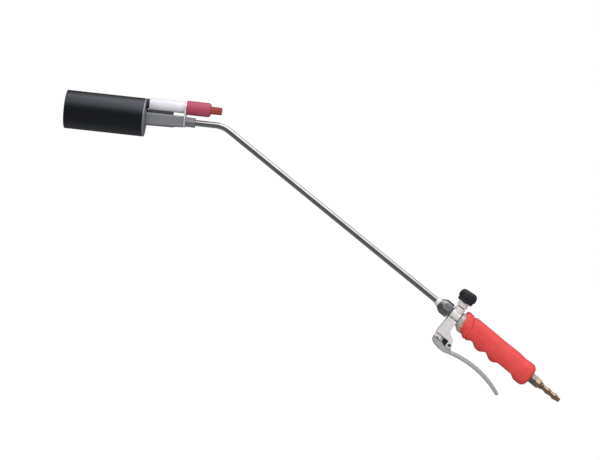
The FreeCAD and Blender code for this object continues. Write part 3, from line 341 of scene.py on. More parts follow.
class Finish:
    """A node material about one Principled shader, with patterns in the frame's own metres."""

    def __init__(self, name, metallic=0.0, ior=1.5, coat=0.0, coat_roughness=0.1):
        self.material = bpy.data.materials.new(name)
        self.material.use_nodes = True
        self.nodes = self.material.node_tree.nodes
        self.links = self.material.node_tree.links
        self.shader = self.nodes["Principled BSDF"]
        self.shader.inputs["Metallic"].default_value = metallic
        self.shader.inputs["IOR"].default_value = ior
        self.shader.inputs["Coat Weight"].default_value = coat
        self.shader.inputs["Coat Roughness"].default_value = coat_roughness
        self.place = self.nodes.new("ShaderNodeTexCoord").outputs["Object"]
        self.normal = None

    def stretched(self, scale, turn=(0.0, 0.0, 0.0)):
        """Coordinates scaled along each axis, after a turn in degrees."""
        mapping = self.nodes.new("ShaderNodeMapping")
        mapping.inputs["Scale"].default_value = scale
        mapping.inputs["Rotation"].default_value = [math.radians(a) for a in turn]
        self.links.new(self.place, mapping.inputs["Vector"])
        return mapping.outputs["Vector"]

    def noise(self, scale, detail=4.0, rough=0.55, stretch=None, turn=(0.0, 0.0, 0.0)):
        """A noise value from 0 to 1. scale is features per metre."""
        node = self.nodes.new("ShaderNodeTexNoise")
        node.inputs["Scale"].default_value = scale
        node.inputs["Detail"].default_value = detail
        node.inputs["Roughness"].default_value = rough
        source = self.stretched(stretch, turn) if stretch else self.place
        self.links.new(source, node.inputs["Vector"])
        return node.outputs["Fac"]

    def cells(self, scale):
        """Distance to the nearest of scattered points."""
        node = self.nodes.new("ShaderNodeTexVoronoi")
        node.inputs["Scale"].default_value = scale
        self.links.new(self.place, node.inputs["Vector"])
        return node.outputs["Distance"]

    def ramp(self, value, stops):
        """A colour or grey from a value, by (position, colour) stops."""
        node = self.nodes.new("ShaderNodeValToRGB")
        elements = node.color_ramp.elements
        while len(elements) < len(stops):
            elements.new(0.5)
        for element, (position, colour) in zip(elements, stops):
            element.position = position
            shade_of = colour if isinstance(colour, tuple) else (colour, colour, colour)
            element.color = (*shade_of, 1.0)
        self.links.new(value, node.inputs["Fac"])
        return node.outputs["Color"]

    def mixed(self, value, low, high):
        """Mixes two colours, or colour sockets, by a value."""
        node = self.nodes.new("ShaderNodeMix")
        node.data_type = "RGBA"
        for socket, given in ((node.inputs[MIX_LOW], low), (node.inputs[MIX_HIGH], high)):
            if isinstance(given, tuple):
                socket.default_value = (*given, 1.0)
            else:
                self.links.new(given, socket)
        self.links.new(value, node.inputs[MIX_FACTOR])
        return node.outputs[MIX_RESULT]

    def colour(self, socket):
        """Sets the base colour."""
        self.links.new(socket, self.shader.inputs["Base Color"])

    def roughness(self, value, low, high):
        """Roughness that follows a value between two limits."""
        node = self.nodes.new("ShaderNodeMapRange")
        node.inputs["To Min"].default_value = low
        node.inputs["To Max"].default_value = high
        self.links.new(value, node.inputs["Value"])
        self.links.new(node.outputs["Result"], self.shader.inputs["Roughness"])

    def bump(self, value, strength, depth_mm):
        """Adds a bump layer on top of the earlier ones."""
        node = self.nodes.new("ShaderNodeBump")
        node.inputs["Strength"].default_value = strength
        node.inputs["Distance"].default_value = depth_mm * MM
        self.links.new(value, node.inputs["Height"])
        if self.normal:
            self.links.new(self.normal, node.inputs["Normal"])
        self.normal = node.outputs["Normal"]
        self.links.new(self.normal, self.shader.inputs["Normal"])

    def near_line(self, point, along, radius_mm, blend_mm):
        """A value of 1 within a radius of a line, and 0 outside it."""
        offset = self.nodes.new("ShaderNodeVectorMath")
        offset.operation = "SUBTRACT"
        self.links.new(self.place, offset.inputs[0])
        offset.inputs[1].default_value = point
        across = self.nodes.new("ShaderNodeVectorMath")
        across.operation = "CROSS_PRODUCT"
        self.links.new(offset.outputs["Vector"], across.inputs[0])
        across.inputs[1].default_value = Vector(along).normalized()
        length = self.nodes.new("ShaderNodeVectorMath")
        length.operation = "LENGTH"
        self.links.new(across.outputs["Vector"], length.inputs[0])
        inside = self.nodes.new("ShaderNodeMapRange")
        inside.inputs["From Min"].default_value = (radius_mm + blend_mm) * MM
        inside.inputs["From Max"].default_value = (radius_mm - blend_mm) * MM
        self.links.new(length.outputs["Value"], inside.inputs["Value"])
        return inside.outputs["Result"]

    def recess_shade(self, reach_mm, low, high):
        """A value that is low in gaps and corners closer than a reach, and high in the open: the mask for
        painted shade.
        """
        node = self.nodes.new("ShaderNodeAmbientOcclusion")
        node.samples = 8
        node.inputs["Distance"].default_value = reach_mm * MM
        return self.ramp(node.outputs["AO"], [(low, 0.0), (high, 1.0)])

    def edges(self, low, high):
        """A value that is high on outward edges: the mask for worn edges, and for painted shade on rolled
        rims.
        """
        node = self.nodes.new("ShaderNodeNewGeometry")
        return self.ramp(node.outputs["Pointiness"], [(low, 0.0), (high, 1.0)])

    def grooves(self, low, high):
        """A value that is high in tight, inward corners: the mask for painted shade."""
        node = self.nodes.new("ShaderNodeNewGeometry")
        return self.ramp(node.outputs["Pointiness"], [(low, 1.0), (high, 0.0)])


def chrome():
    """Bright plating: slight clouding, fine brush lines along the tube and smudges."""
    finish = Finish("chrome", metallic=1.0)
    clouds = finish.noise(60.0, 3.0)
    finish.colour(finish.ramp(clouds, [(0.3, (0.58, 0.58, 0.59)), (0.7, (0.74, 0.74, 0.74))]))
    smudges = finish.noise(240.0, 5.0, 0.6)
    finish.roughness(smudges, 0.08, 0.18)
    lines = finish.noise(2200.0, 3.0, 0.6, stretch=(0.03, 1, 1))
    finish.bump(lines, 0.25, 0.006)
    return finish.material


def nickel():
    """Pale plating over a cast body: satin, with a faint cast ripple, and painted shade darkening gaps and
    recesses.
    """
    finish = Finish("nickel", metallic=0.30)
    clouds = finish.noise(110.0, 4.0)
    base = finish.ramp(clouds, [(0.3, (0.88, 0.84, 0.83)), (0.7, (0.96, 0.94, 0.93))])
    # Painted shade: the colour turns near-black in gaps and corners, where shade falls.
    finish.colour(finish.mixed(finish.recess_shade(3.0, 0.30, 0.85), (0.07, 0.065, 0.06), base))
    finish.roughness(finish.noise(500.0, 4.0), 0.30, 0.46)
    finish.bump(finish.noise(420.0, 3.0), 0.35, 0.10)
    finish.bump(finish.noise(2600.0, 2.0), 0.2, 0.02)
    return finish.material


def cast_grey():
    """Bare grey casting: grainy, mottled, with a dull metallic sheen."""
    finish = Finish("cast_grey", metallic=0.55)
    fine = finish.noise(1500.0, 6.0, 0.7)
    broad = finish.noise(130.0, 3.0)
    base = finish.ramp(fine, [(0.25, (0.16, 0.165, 0.175)), (0.75, (0.48, 0.49, 0.51))])
    finish.colour(finish.mixed(broad, base, (0.32, 0.33, 0.36)))
    finish.roughness(fine, 0.42, 0.7)
    finish.bump(fine, 0.6, 0.18)
    finish.bump(finish.cells(900.0), 0.25, 0.1)
    return finish.material


def bell_black():
    """Heat-proof black coat: satin, faintly pebbled, scuffed at the rims and scorched brown in the bore."""
    wall_middle_mm, blend_mm = 24.3, 0.3
    finish = Finish("bell_black", coat=0.25, coat_roughness=0.28, ior=1.72)
    finish.shader.inputs["Specular Tint"].default_value = (0.80, 0.86, 1.0, 1.0)
    broad = finish.noise(45.0, 4.0)
    base = finish.ramp(broad, [(0.3, (0.0015, 0.0015, 0.003)), (0.7, (0.004, 0.004, 0.007))])
    worn = finish.mixed(finish.edges(0.52, 0.58), base, (0.045, 0.045, 0.048))
    soot = finish.noise(90.0, 5.0, 0.6)
    scorched = finish.ramp(soot, [(0.3, (0.09, 0.065, 0.05)), (0.7, (0.20, 0.165, 0.14))])
    bore = finish.near_line(BEND_CORNER, MOUNTS["burner_mouth"]["axis"], wall_middle_mm, blend_mm)
    finish.colour(finish.mixed(bore, worn, scorched))
    finish.roughness(finish.noise(300.0, 5.0, 0.6), 0.24, 0.36)
    finish.bump(finish.noise(1400.0, 4.0), 0.25, 0.05)
    finish.bump(finish.noise(70.0, 2.0), 0.3, 0.25)
    return finish.material


def plain_steel(name, dark, light, rough_low, rough_high, metallic=1.0):
    """Bare steel with fine scratches in several directions."""
    finish = Finish(name, metallic=metallic)
    finish.colour(finish.ramp(finish.noise(180.0, 5.0), [(0.3, dark), (0.7, light)]))
    finish.roughness(finish.noise(700.0, 4.0), rough_low, rough_high)
    finish.bump(finish.noise(1800.0, 3.0, 0.6, stretch=(0.08, 1, 1), turn=(0, 35, 0)), 0.25, 0.02)
    return finish.material


def satin_steel():
    """Pressed steel with a dull plating: grey, with painted shade darkening the rims where they roll over."""
    finish = Finish("satin_steel", metallic=0.6)
    drift = finish.noise(150.0, 4.0)
    base = finish.ramp(drift, [(0.3, (0.74, 0.74, 0.74)), (0.7, (0.86, 0.86, 0.86))])
    # Painted shade: the rolled rims turn dark grey, as where they turn away from the light.
    finish.colour(finish.mixed(finish.edges(0.51, 0.57), base, (0.22, 0.22, 0.23)))
    finish.roughness(finish.noise(700.0, 4.0), 0.28, 0.42)
    finish.bump(finish.noise(1800.0, 3.0, 0.6, stretch=(0.08, 1, 1)), 0.3, 0.03)
    return finish.material


def brass(name, dark, light, rough_low, rough_high, metallic=1.0):
    """Machined brass: turning lines round the x axis, with tarnish in patches."""
    finish = Finish(name, metallic=metallic)
    patches = finish.noise(260.0, 5.0, 0.6)
    finish.colour(finish.ramp(patches, [(0.32, dark), (0.62, light)]))
    finish.roughness(finish.noise(900.0, 4.0), rough_low, rough_high)
    finish.bump(finish.noise(2400.0, 2.0, 0.5, stretch=(1, 0.05, 0.05)), 0.3, 0.02)
    return finish.material


def white_ceramic():
    """Glazed white sleeve with faint cool clouding."""
    finish = Finish("white_ceramic", coat=0.4, coat_roughness=0.12)
    clouds = finish.noise(90.0, 4.0)
    finish.colour(finish.ramp(clouds, [(0.3, (0.74, 0.74, 0.80)), (0.7, (0.88, 0.88, 0.91))]))
    finish.roughness(finish.noise(400.0, 4.0), 0.22, 0.36)
    finish.bump(finish.noise(1100.0, 3.0), 0.12, 0.03)
    return finish.material


def moulded(name, dark, light, rough_low, rough_high, grain_scale, grain_mm, coat=0.0):
    """Moulded plastic: soft colour drift, fine grain, rubbed edges and painted shade darkening the grooves.
    """
    finish = Finish(name, coat=coat, coat_roughness=0.2, ior=1.46)
    drift = finish.noise(80.0, 3.0)
    base = finish.ramp(drift, [(0.3, dark), (0.7, light)])
    rubbed = tuple(min(1.0, channel * 1.25 + 0.02) for channel in light)
    worn = finish.mixed(finish.edges(0.53, 0.60), base, rubbed)
    # Painted shade: a darker colour in tight grooves and inward corners, where shade falls.
    groove_shade = (dark[0] * 0.42, dark[1] * 0.25, dark[2] * 0.25)
    finish.colour(finish.mixed(finish.grooves(0.44, 0.49), worn, groove_shade))
    finish.roughness(finish.noise(350.0, 4.0), rough_low, rough_high)
    finish.bump(finish.noise(grain_scale, 4.0, 0.6), 0.3, grain_mm)
    return finish.material


def rubber():
    """Soft black rubber, even and dull."""
    finish = Finish("rubber")
    finish.colour(finish.ramp(finish.noise(400.0), [(0.3, (0.012, 0.012, 0.012)), (0.7, (0.03, 0.03, 0.03))]))
    finish.roughness(finish.noise(800.0), 0.5, 0.7)
    finish.bump(finish.noise(2500.0), 0.3, 0.03)
    return finish.material


MATERIALS = {
    "bell_black": bell_black(),
    "bell_plate": plain_steel("bell_plate", (0.28, 0.285, 0.31), (0.38, 0.385, 0.42), 0.34, 0.48, 0.5),
    "cast_grey": cast_grey(),
    "chrome": chrome(),
    "nickel": nickel(),
    "steel": plain_steel("steel", (0.80, 0.80, 0.82), (0.92, 0.92, 0.92), 0.34, 0.48, 0.4),
    "satin_steel": satin_steel(),
    "dark_steel": plain_steel("dark_steel", (0.30, 0.30, 0.32), (0.56, 0.56, 0.60), 0.22, 0.40),
    "brass": brass("brass", (0.56, 0.40, 0.27), (0.86, 0.63, 0.44), 0.26, 0.42),
    "olive_brass": brass("olive_brass", (0.52, 0.47, 0.42), (0.80, 0.73, 0.69), 0.30, 0.46, 0.5),
    "white_ceramic": white_ceramic(),
    "black_plastic": moulded(
        "black_plastic", (0.016, 0.016, 0.022), (0.034, 0.034, 0.044), 0.30, 0.46, 1800.0, 0.04),
    "red_cap": moulded("red_cap", (0.43, 0.054, 0.108), (0.51, 0.074, 0.136), 0.28, 0.42, 1500.0, 0.03, 0.2),
    "red_button": moulded("red_button", (0.30, 0.040, 0.030), (0.42, 0.070, 0.050), 0.4, 0.55, 1600.0, 0.04),
    "red_grip": moulded("red_grip", (0.77, 0.060, 0.056), (0.87, 0.082, 0.076), 0.36, 0.5, 1300.0, 0.05, 0.1),
    "rubber": rubber(),
}


# ------------------------------------------------------------------ burner head

def make_neck_tube():
    """The plated tube, swept along its straight run, bend and front leg."""
    radius, bore, bend_radius = 4.0, 3.0, 35.0
    rear_x, front_along = -84.0, 50.0
    run_steps, bend_steps, leg_steps, steps = 40, 32, 8, 48
    bend = math.acos(-MOUNTS["burner_mouth"]["axis"][0])
    tangent = bend_radius * math.tan(bend / 2)
    corner = BEND_CORNER / MM
    ahead = Vector((-math.cos(bend), 0.0, -math.sin(bend)))
    centre = Vector((corner.x + tangent, 0.0, -bend_radius))
    rings = []
    for step in range(run_steps + 1):
        x = rear_x + (corner.x + tangent - rear_x) * step / run_steps
        rings.append((Vector((x, 0.0, 0.0)), 0.0))
    for step in range(1, bend_steps + 1):
        angle = bend * step / bend_steps
        rings.append((centre + Vector((-math.sin(angle), 0.0, math.cos(angle))) * bend_radius, angle))
    for step in range(1, leg_steps + 1):
        along = tangent + (front_along - tangent) * step / leg_steps
        rings.append((corner + ahead * along, bend))
    work = bmesh.new()
    walls = []
    for wall_radius in (radius, bore):
        wall = []
        for middle, angle in rings:
            up = Vector((-math.sin(angle), 0.0, math.cos(angle)))
            side = Vector((0.0, 1.0, 0.0))
            turns = [2 * math.pi * step / steps for step in range(steps)]
            wall.append([
                work.verts.new((middle + (up * math.sin(t) + side * math.cos(t)) * wall_radius) * MM)
                for t in turns
            ])
        for here, there in zip(wall, wall[1:]):
            for step in range(steps):
                after = (step + 1) % steps
                work.faces.new((here[step], here[after], there[after], there[step]))
        walls.append(wall)
    for end in (0, -1):
        outer, inner = walls[0][end], walls[1][end]
        for step in range(steps):
            after = (step + 1) % steps
            work.faces.new((outer[step], outer[after], inner[after], inner[step]))
    bmesh.ops.recalc_face_normals(work, faces=work.faces)
    mesh = bpy.data.meshes.new("neck_tube_skin")
    work.to_mesh(mesh)
    work.free()
    finish_piece(mesh, "neck_tube_skin", "neck_tube")


def make_burner():
    """The bell, with a softly rolled mouth, and the small turned pieces of the head."""
    rear, bore_end, mouth = 103.7, 146.0, 205.4
    outer, inner, rear_bore = 25.0, 23.8, 23.5
    bell = [(rear, rear_bore, 0.1), (rear, outer, 0.7), (mouth, outer, 0.5), (mouth, inner, 0.4)]
    bell += [(bore_end, inner, 0.0), (bore_end - 0.6, rear_bore, 0.0)]
    stations = rounded(bell, 4)
    spin("burner_bell_skin", "burner_bell", HEAD, lambda turn: stations, 160)
    hex_nut("head_nut_skin", "head_nut", 36.5, 49.4, 12.4, 0.0, 4.05, (6.2, 1.6), (6.3, 1.6), HEAD)
    cast_copy("burner_support", 0.45, 4)
    cast_copy("igniter_plate", 0.35, 2)
    cast_copy("bell_back_plate", 0.45, 2)
    cast_copy("flame_holder", 0.4, 2)


def make_igniter():
    """The white sleeve, its dark collar, the red cap and the button."""
    body = [(51.5, 6.05, 0.1), (51.5, 7.8, 0.5), (98.0, 7.8, 0.8), (98.0, 6.05, 0.1)]
    turned("igniter_body_skin", "igniter_body", IGNITER, body)
    collar = [(98.0, 2.55, 0.1), (98.0, 6.4, 0.3), (101.7, 6.4, 0.3), (101.7, 2.55, 0.1)]
    turned("igniter_front_collar_skin", "igniter_front_collar", IGNITER, collar)
    cap = [(17.9, 5.05, 0.1)] + [(*point, 0.0) for point in arc((21.7, 5.3), 4.0, 176.0, 90.0, 10)]
    cap += [(44.5, 9.3, 0.4), (45.1, 8.95, 0.2), (45.9, 8.95, 0.2)]
    cap += [(46.5, 9.3, 0.4), (49.5, 9.3, 0.5), (49.5, 6.05, 0.1), (25.0, 6.05, 0.2), (25.0, 5.05, 0.2)]
    turned("igniter_cap_skin", "igniter_cap", IGNITER, cap, steps=128, parts=6)
    button = [(3.4, 0.0, 0.0), (3.4, 5.0, 2.2), (25.3, 5.0, 0.1), (25.3, 5.7, 0.2), (27.5, 5.7, 0.2)]
    button += [(27.5, 0.0, 0.0)]
    turned("igniter_button_skin", "igniter_button", IGNITER, button, parts=6)


# ------------------------------------------------------------------ coupling and valve

def make_valve():
    """The sleeve, union nut, valve casting, glands, spring, knob and lever."""
    sleeve = [(-102.0, 4.05, 0.1), (-102.0, 4.7, 0.4), (-100.6, 5.1, 0.4), (-97.0, 5.7, 0.2)]
    sleeve += [(-97.0, 4.05, 0.1)]
    turned("neck_sleeve_skin", "neck_sleeve", MAIN, sleeve)
    hex_nut("coupling_nut_skin", "coupling_nut", -97.0, -79.2, 19.0, 15.0, 4.05, (6.0, 0.68), (9.4, 1.08))
    cast_copy("valve_body", 0.4, 8)
    gland = [(7.0, 3.45, 0.1), (7.0, 4.5, 0.2), (12.65, 4.5, 0.1), (12.65, 5.1, 0.1), (13.8, 5.1, 0.2)]
    gland += [(13.8, 7.1, 0.3), (18.2, 7.1, 0.2)]
    gland += [(18.5, 6.8, 0.1), (19.0, 6.8, 0.1), (19.3, 7.1, 0.1), (20.0, 7.1, 0.5), (20.0, 2.6, 0.1)]
    gland += [(14.2, 2.6, 0.1), (14.2, 3.45, 0.1)]
    turned("needle_gland_skin", "needle_gland", KNOB, gland)
    lower = [(-36.1, 1.85, 0.1), (-36.1, 6.2, 0.8), (-31.2, 6.2, 0.5), (-31.2, 4.85, 0.1), (-24.5, 4.85, 0.3)]
    lower += [(-24.5, 1.85, 0.1)]
    turned("plunger_gland_skin", "plunger_gland", PLUNGER, lower)
    make_spring()
    make_knob()
    make_lever()


def make_spring():
    """The plunger's return spring, between the gland and the poppet. The coil keeps one fixed shape; the real
    spring shortens as the plunger comes down.
    """
    axis_x, low, high = -70.3, -24.05, -12.45
    radius, wire, pitch = 3.1, 0.4, 2.25
    turns = (high - low) / pitch
    steps_per_turn, sides = 36, 10
    steps = int(steps_per_turn * turns)
    work = bmesh.new()
    rings = []
    for step in range(steps + 1):
        angle = 2 * math.pi * turns * step / steps
        outward = Vector((math.cos(angle), math.sin(angle), 0.0))
        middle = Vector((axis_x, 0.0, low + (high - low) * step / steps)) + outward * radius
        ring = []
        for side in range(sides):
            around = 2 * math.pi * side / sides
            upward = Vector((0.0, 0.0, wire * math.sin(around)))
            corner = middle + outward * (wire * math.cos(around)) + upward
            ring.append(work.verts.new(corner * MM))
        rings.append(ring)
    for here, there in zip(rings, rings[1:]):
        for side in range(sides):
            after = (side + 1) % sides
            work.faces.new((here[side], here[after], there[after], there[side]))
    work.faces.new(rings[0])
    work.faces.new(rings[-1])
    bmesh.ops.recalc_face_normals(work, faces=work.faces)
    mesh = bpy.data.meshes.new("plunger_spring_coil")
    work.to_mesh(mesh)
    work.free()
    spring = bpy.data.objects.new("plunger_spring_coil", mesh)
    bpy.context.scene.collection.objects.link(spring)
    shade(spring, 60.0)
    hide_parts("plunger_spring")
    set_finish(spring, SLOT_OF["plunger_spring"])
    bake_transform(spring)


def make_knob():
    """The black knob: a plain skirt, a groove and a bulging body with ribs."""
    ribs, rib_depth, steps_per_rib = 24, 0.75, 12
    rib_front, rib_front_run, rib_rear, rib_rear_run = 25.6, 0.7, 36.6, 1.6
    profile = [(20.6, 8.9, 0.6), (21.4, 10.2, 0.6), (23.6, 10.9, 0.6), (24.0, 10.4, 0.3), (25.3, 10.6, 0.3)]
    profile += [(25.8, 11.9, 0.6), (28.5, 12.3, 1.0), (31.5, 12.1, 1.2), (34.4, 11.0, 1.6), (36.4, 9.2, 1.4)]
    profile += [(37.0, 6.6, 0.8), (36.6, 4.2, 0.6), (34.05, 3.5, 0.3), (34.05, 2.52, 0.1), (20.6, 2.52, 0.1)]
    outline = []
    base = rounded(profile)
    for index, here in enumerate(base):
        after = base[(index + 1) % len(base)]
        outline.append(here)
        if here[1] > 9.0 and after[1] > 9.0 and abs(after[0] - here[0]) > 0.9:
            outline.append(((here[0] + after[0]) / 2, (here[1] + after[1]) / 2))

    def outline_at(turn):
        wave = abs(math.cos(ribs * turn / 2.0)) ** 0.7
        points = []
        for along, radius in outline:
            front_share = min(1.0, max(0.0, (along - rib_front) / rib_front_run))
            rear_share = min(1.0, max(0.0, (rib_rear - along) / rib_rear_run))
            depth = rib_depth * front_share * rear_share * (1.0 - wave) if radius > 8.5 else 0.0
            points.append((along, radius - depth))
        return points

    spin("control_knob_skin", "control_knob", KNOB, outline_at, ribs * steps_per_rib, angle=50.0)


def make_lever():
    """The pressed lever: two cheeks with rolled rims, joined by a web along the bottom."""
    half, wall, rim, pin, pin_boss = 5.4, 1.5, 1.35, (-52.9, -35.1), 3.4
    web_start, web_thickness, overlap, flat_rounding = -66.0, 1.7, 0.2, 0.05
    below = smooth_curve([(-75.9, -37.6), (-74.9, -41.0), (-72.6, -43.7), (-69.0, -45.3), (-62.4, -46.7),
                          (-57.0, -46.9), (-52.0, -46.4)], 8)
    below += bowed((-52.0, -46.4), (35.4, -46.8), 132.0, 48)[1:]
    tip = arc((34.6, -44.55), 2.3, -75.0, 75.0, 10)
    above = bowed((35.4, -42.3), (-46.0, -39.2), 118.0, 48)
    ear = arc(pin, pin_boss, -10.0, 190.0, 16)
    cheek = below[:-1] + tip + above[1:] + ear
    cheek += [(-56.9, -40.2), (-60.0, -38.4), (-63.0, -36.7), (-75.2, -36.7)]
    work = bmesh.new()
    for way in (1.0, -1.0):
        slab(work, cheek, way * (half - wall), way * half, rim)
    web = [point for point in below if point[0] > web_start]
    web = web + [(point[0] + overlap, point[1] + web_thickness) for point in reversed(web)]
    reach = half - wall + overlap
    slab(work, web, -reach, reach, flat_rounding, 1)
    slab(work, tip + [(32.8, -41.9), (32.8, -46.0)], -reach, reach, flat_rounding, 1)
    bmesh.ops.recalc_face_normals(work, faces=work.faces)
    mesh = bpy.data.meshes.new("squeeze_lever_skin")
    work.to_mesh(mesh)
    work.free()
    finish_piece(mesh, "squeeze_lever_skin", "squeeze_lever", 40.0)


# ------------------------------------------------------------------ handle and hose end

def between(points, x):
    """Smooth height at x through (x, height) points."""
    if x <= points[0][0]:
        return points[0][1]
    for (x0, y0), (x1, y1) in zip(points, points[1:]):
        if x <= x1:
            t = (x - x0) / (x1 - x0)
            return y0 + (y1 - y0) * (0.5 - 0.5 * math.cos(math.pi * t))
    return points[-1][1]


def make_grip():
    """The red grip: slanted collar, finger hollows below, a slim waist and a rounded rear end."""
    front, rear, end_radius, lip = -60.5, 55.5, 7.0, 1.2
    end_steps, lip_steps, count = 14, 5, 330
    upper_power, lower_power, cut_blend = 2.6, 2.15, 1.6
    seam_height, groove_width, groove_depth = 15.0, 1.0, 1.2
    socket_flats, wall, shelf, bore, chamfer = 24.7, 1.7, -50.0, 6.6, 0.3
    collar_run = 16.0
    top = [(-60.5, 15.2), (-57.0, 15.9), (-51.5, 15.4), (-48.8, 14.5), (-45.5, 15.9), (-20.0, 15.9)]
    top += [(5.0, 15.5), (25.0, 15.9), (37.0, 14.9), (45.0, 15.6), (55.5, 15.4)]
    bumps = [(-60.5, 12.4), (-54.0, 13.8), (-50.2, 14.8), (-46.0, 16.0), (-43.0, 16.6)]
    bumps += [(-21.5, 17.2), (1.6, 16.9), (25.0, 16.2), (46.0, 16.8), (55.5, 16.4)]
    cuts = [(-60.5, 18.0), (-44.5, 18.0), (-32.5, 12.3), (-20.5, 18.0), (-9.1, 12.0)]
    cuts += [(2.0, 18.0), (11.0, 13.0), (33.0, 13.0), (43.0, 18.0), (55.5, 18.0)]
    wide = [(-60.5, 14.3), (-57.0, 14.8), (-50.5, 14.5), (-48.5, 14.0), (-43.0, 14.6), (0.0, 14.3)]
    wide += [(33.0, 14.0), (45.0, 14.6), (55.5, 14.3)]
    seam = [(-16.0, -42.3), (0.0, -44.4), (16.0, -49.2)]
    collar = [(-17.0, 9.0), (-15.0, 9.0), (-11.7, 7.3), (-8.0, 4.3), (0.0, 3.4), (11.7, 0.3), (16.0, 0.0)]
    stations = []
    for step in range(1, end_steps + 1):
        angle = math.pi / 2 * step / end_steps
        stations.append((rear - end_radius * (1 - math.cos(angle)), end_radius * (1 - math.sin(angle))))
    straight = rear - end_radius - front - lip
    stations += [(rear - end_radius - straight * step / count, 0.0) for step in range(1, count + 1)]
    for step in range(1, lip_steps + 1):
        angle = math.pi / 2 * step / lip_steps
        stations.append((front + lip * (1 - math.sin(angle)), lip * (1 - math.cos(angle))))

    def radius_at(x, turn):
        upper = math.sin(turn) > 0
        power = upper_power if upper else lower_power
        across = abs(math.cos(turn)) / between(wide, x)
        tall = abs(math.sin(turn)) / between(top if upper else bumps, x)
        radius = (across**power + tall**power) ** (-1 / power)
        if not upper and abs(math.sin(turn)) > 0.3:
            radius = soft_min(radius, between(cuts, x) / abs(math.sin(turn)), cut_blend)
        groove = (x - between(seam, seam_height * math.sin(turn))) / groove_width
        return radius - groove_depth * math.exp(-(groove**2))

    def outline_at(turn):
        points = [(rear, bore), (rear, radius_at(rear, turn) - end_radius)]
        points += [(x, radius_at(x, turn) - inset) for x, inset in stations]
        cavity = min(hex_radius(turn, socket_flats, 90.0), radius_at(front, turn) - wall)
        points += [(front, cavity + 0.2), (front + chamfer, cavity)]
        points += [(shelf - 1.0, cavity), (shelf, cavity - 0.4)]
        points += [(shelf, bore + chamfer), (shelf + chamfer, bore)]
        return points

    def warp(point):
        reach = min(1.0, max(0.0, (point.x - front) / collar_run))
        weight = 1.0 - reach * reach * (3 - 2 * reach)
        return Vector((point.x + between(collar, point.z) * weight, point.y, point.z))

    spin("handle_grip_skin", "handle_grip", MAIN, outline_at, 220, warp, angle=60.0)


def make_hose_end():
    """The adapter at the grip's front, and the washer, nut and barb behind it."""
    flats = 14.1 * math.sqrt(3.0)
    front, rear, seat, nose = -63.6, -50.0, 9.3, 0.5
    cone_length, cone_rise, cone_blend, count = 7.5, 0.8, 0.4, 12

    def adapter_at(turn):
        edge = hex_radius(turn, flats, 90.0)
        points = [(front, 6.3), (front, 8.6), (front + nose, seat)]
        for step in range(1, count + 1):
            along = front + nose + cone_length * step / count
            points.append((along, soft_min(edge, seat + (along - front - nose) * cone_rise, cone_blend)))
        points += [(front + 8.6, edge), (-52.0, edge), (rear - 0.5, edge - 0.05), (rear, edge - 0.6)]
        points += [(rear, 6.9), (rear - 0.3, 6.55), (-56.8, 6.55), (-56.8, 6.05), (front + 0.3, 6.05)]
        return points

    spin("hex_adapter_skin", "hex_adapter", MAIN, adapter_at, 144, angle=28.0)
    washer = [(55.55, 5.05, 0.1), (55.55, 7.6, 0.25), (56.6, 7.6, 0.25), (56.6, 5.05, 0.1)]
    turned("rear_washer_skin", "rear_washer", MAIN, washer)
    hex_nut("rear_nut_skin", "rear_nut", 56.6, 62.8, 13.0, 0.0, 5.05, (6.7, 1.6), (6.7, 1.6))
    make_barb()


def make_barb():
    """The brass barb: a hexagon, a short cone and two ridges on a slim stem."""
    front, hex_rear, flats, count = 62.9, 70.2, 13.0, 16
    corner = flats / math.sqrt(3.0)
    stem = [(70.2, 5.9, 0.2), (70.6, 5.6, 0.2), (72.8, 4.5, 0.5), (75.2, 4.4, 0.4), (76.4, 3.4, 0.4)]
    stem += [(81.6, 3.4, 0.3), (82.6, 4.3, 0.2), (84.6, 4.3, 0.5), (88.4, 3.4, 0.8), (93.0, 3.4, 0.3)]
    stem += [(94.0, 4.3, 0.2), (96.0, 4.3, 0.5), (99.6, 3.4, 0.8), (102.8, 3.0, 0.3), (104.0, 2.5, 0.3)]
    stem += [(104.0, 1.9, 0.1)]
    tail = rounded(stem)

    def outline_at(turn):
        edge = hex_radius(turn, flats, 0.0)
        points = [(front, 5.2), (front, corner - 1.1)]
        for step in range(count + 1):
            along = front + (hex_rear - front) * (0.5 - 0.5 * math.cos(math.pi * step / count))
            depth = min(along - front, hex_rear - along)
            points.append((along, soft_min(edge, corner - 0.8 + depth / 0.6, 0.3)))
        points += tail
        points += [(66.0, 1.9), (65.0, 5.05), (front + 0.2, 5.05)]
        return points

    spin("hose_barb_skin", "hose_barb", MAIN, outline_at, 180, angle=28.0)


# ------------------------------------------------------------------ stage

def area_light(name, place, target, size, power):
    """A soft rectangular lamp aimed at a point."""
    data = bpy.data.lights.new(name, "AREA")
    data.shape = "RECTANGLE"
    data.size, data.size_y = size
    data.energy = power
    lamp = bpy.data.objects.new(name, data)
    lamp.location = place
    lamp.rotation_mode = "QUATERNION"
    lamp.rotation_quaternion = (Vector(target) - Vector(place)).to_track_quat("-Z", "Y")
    bpy.context.scene.collection.objects.link(lamp)
    return lamp


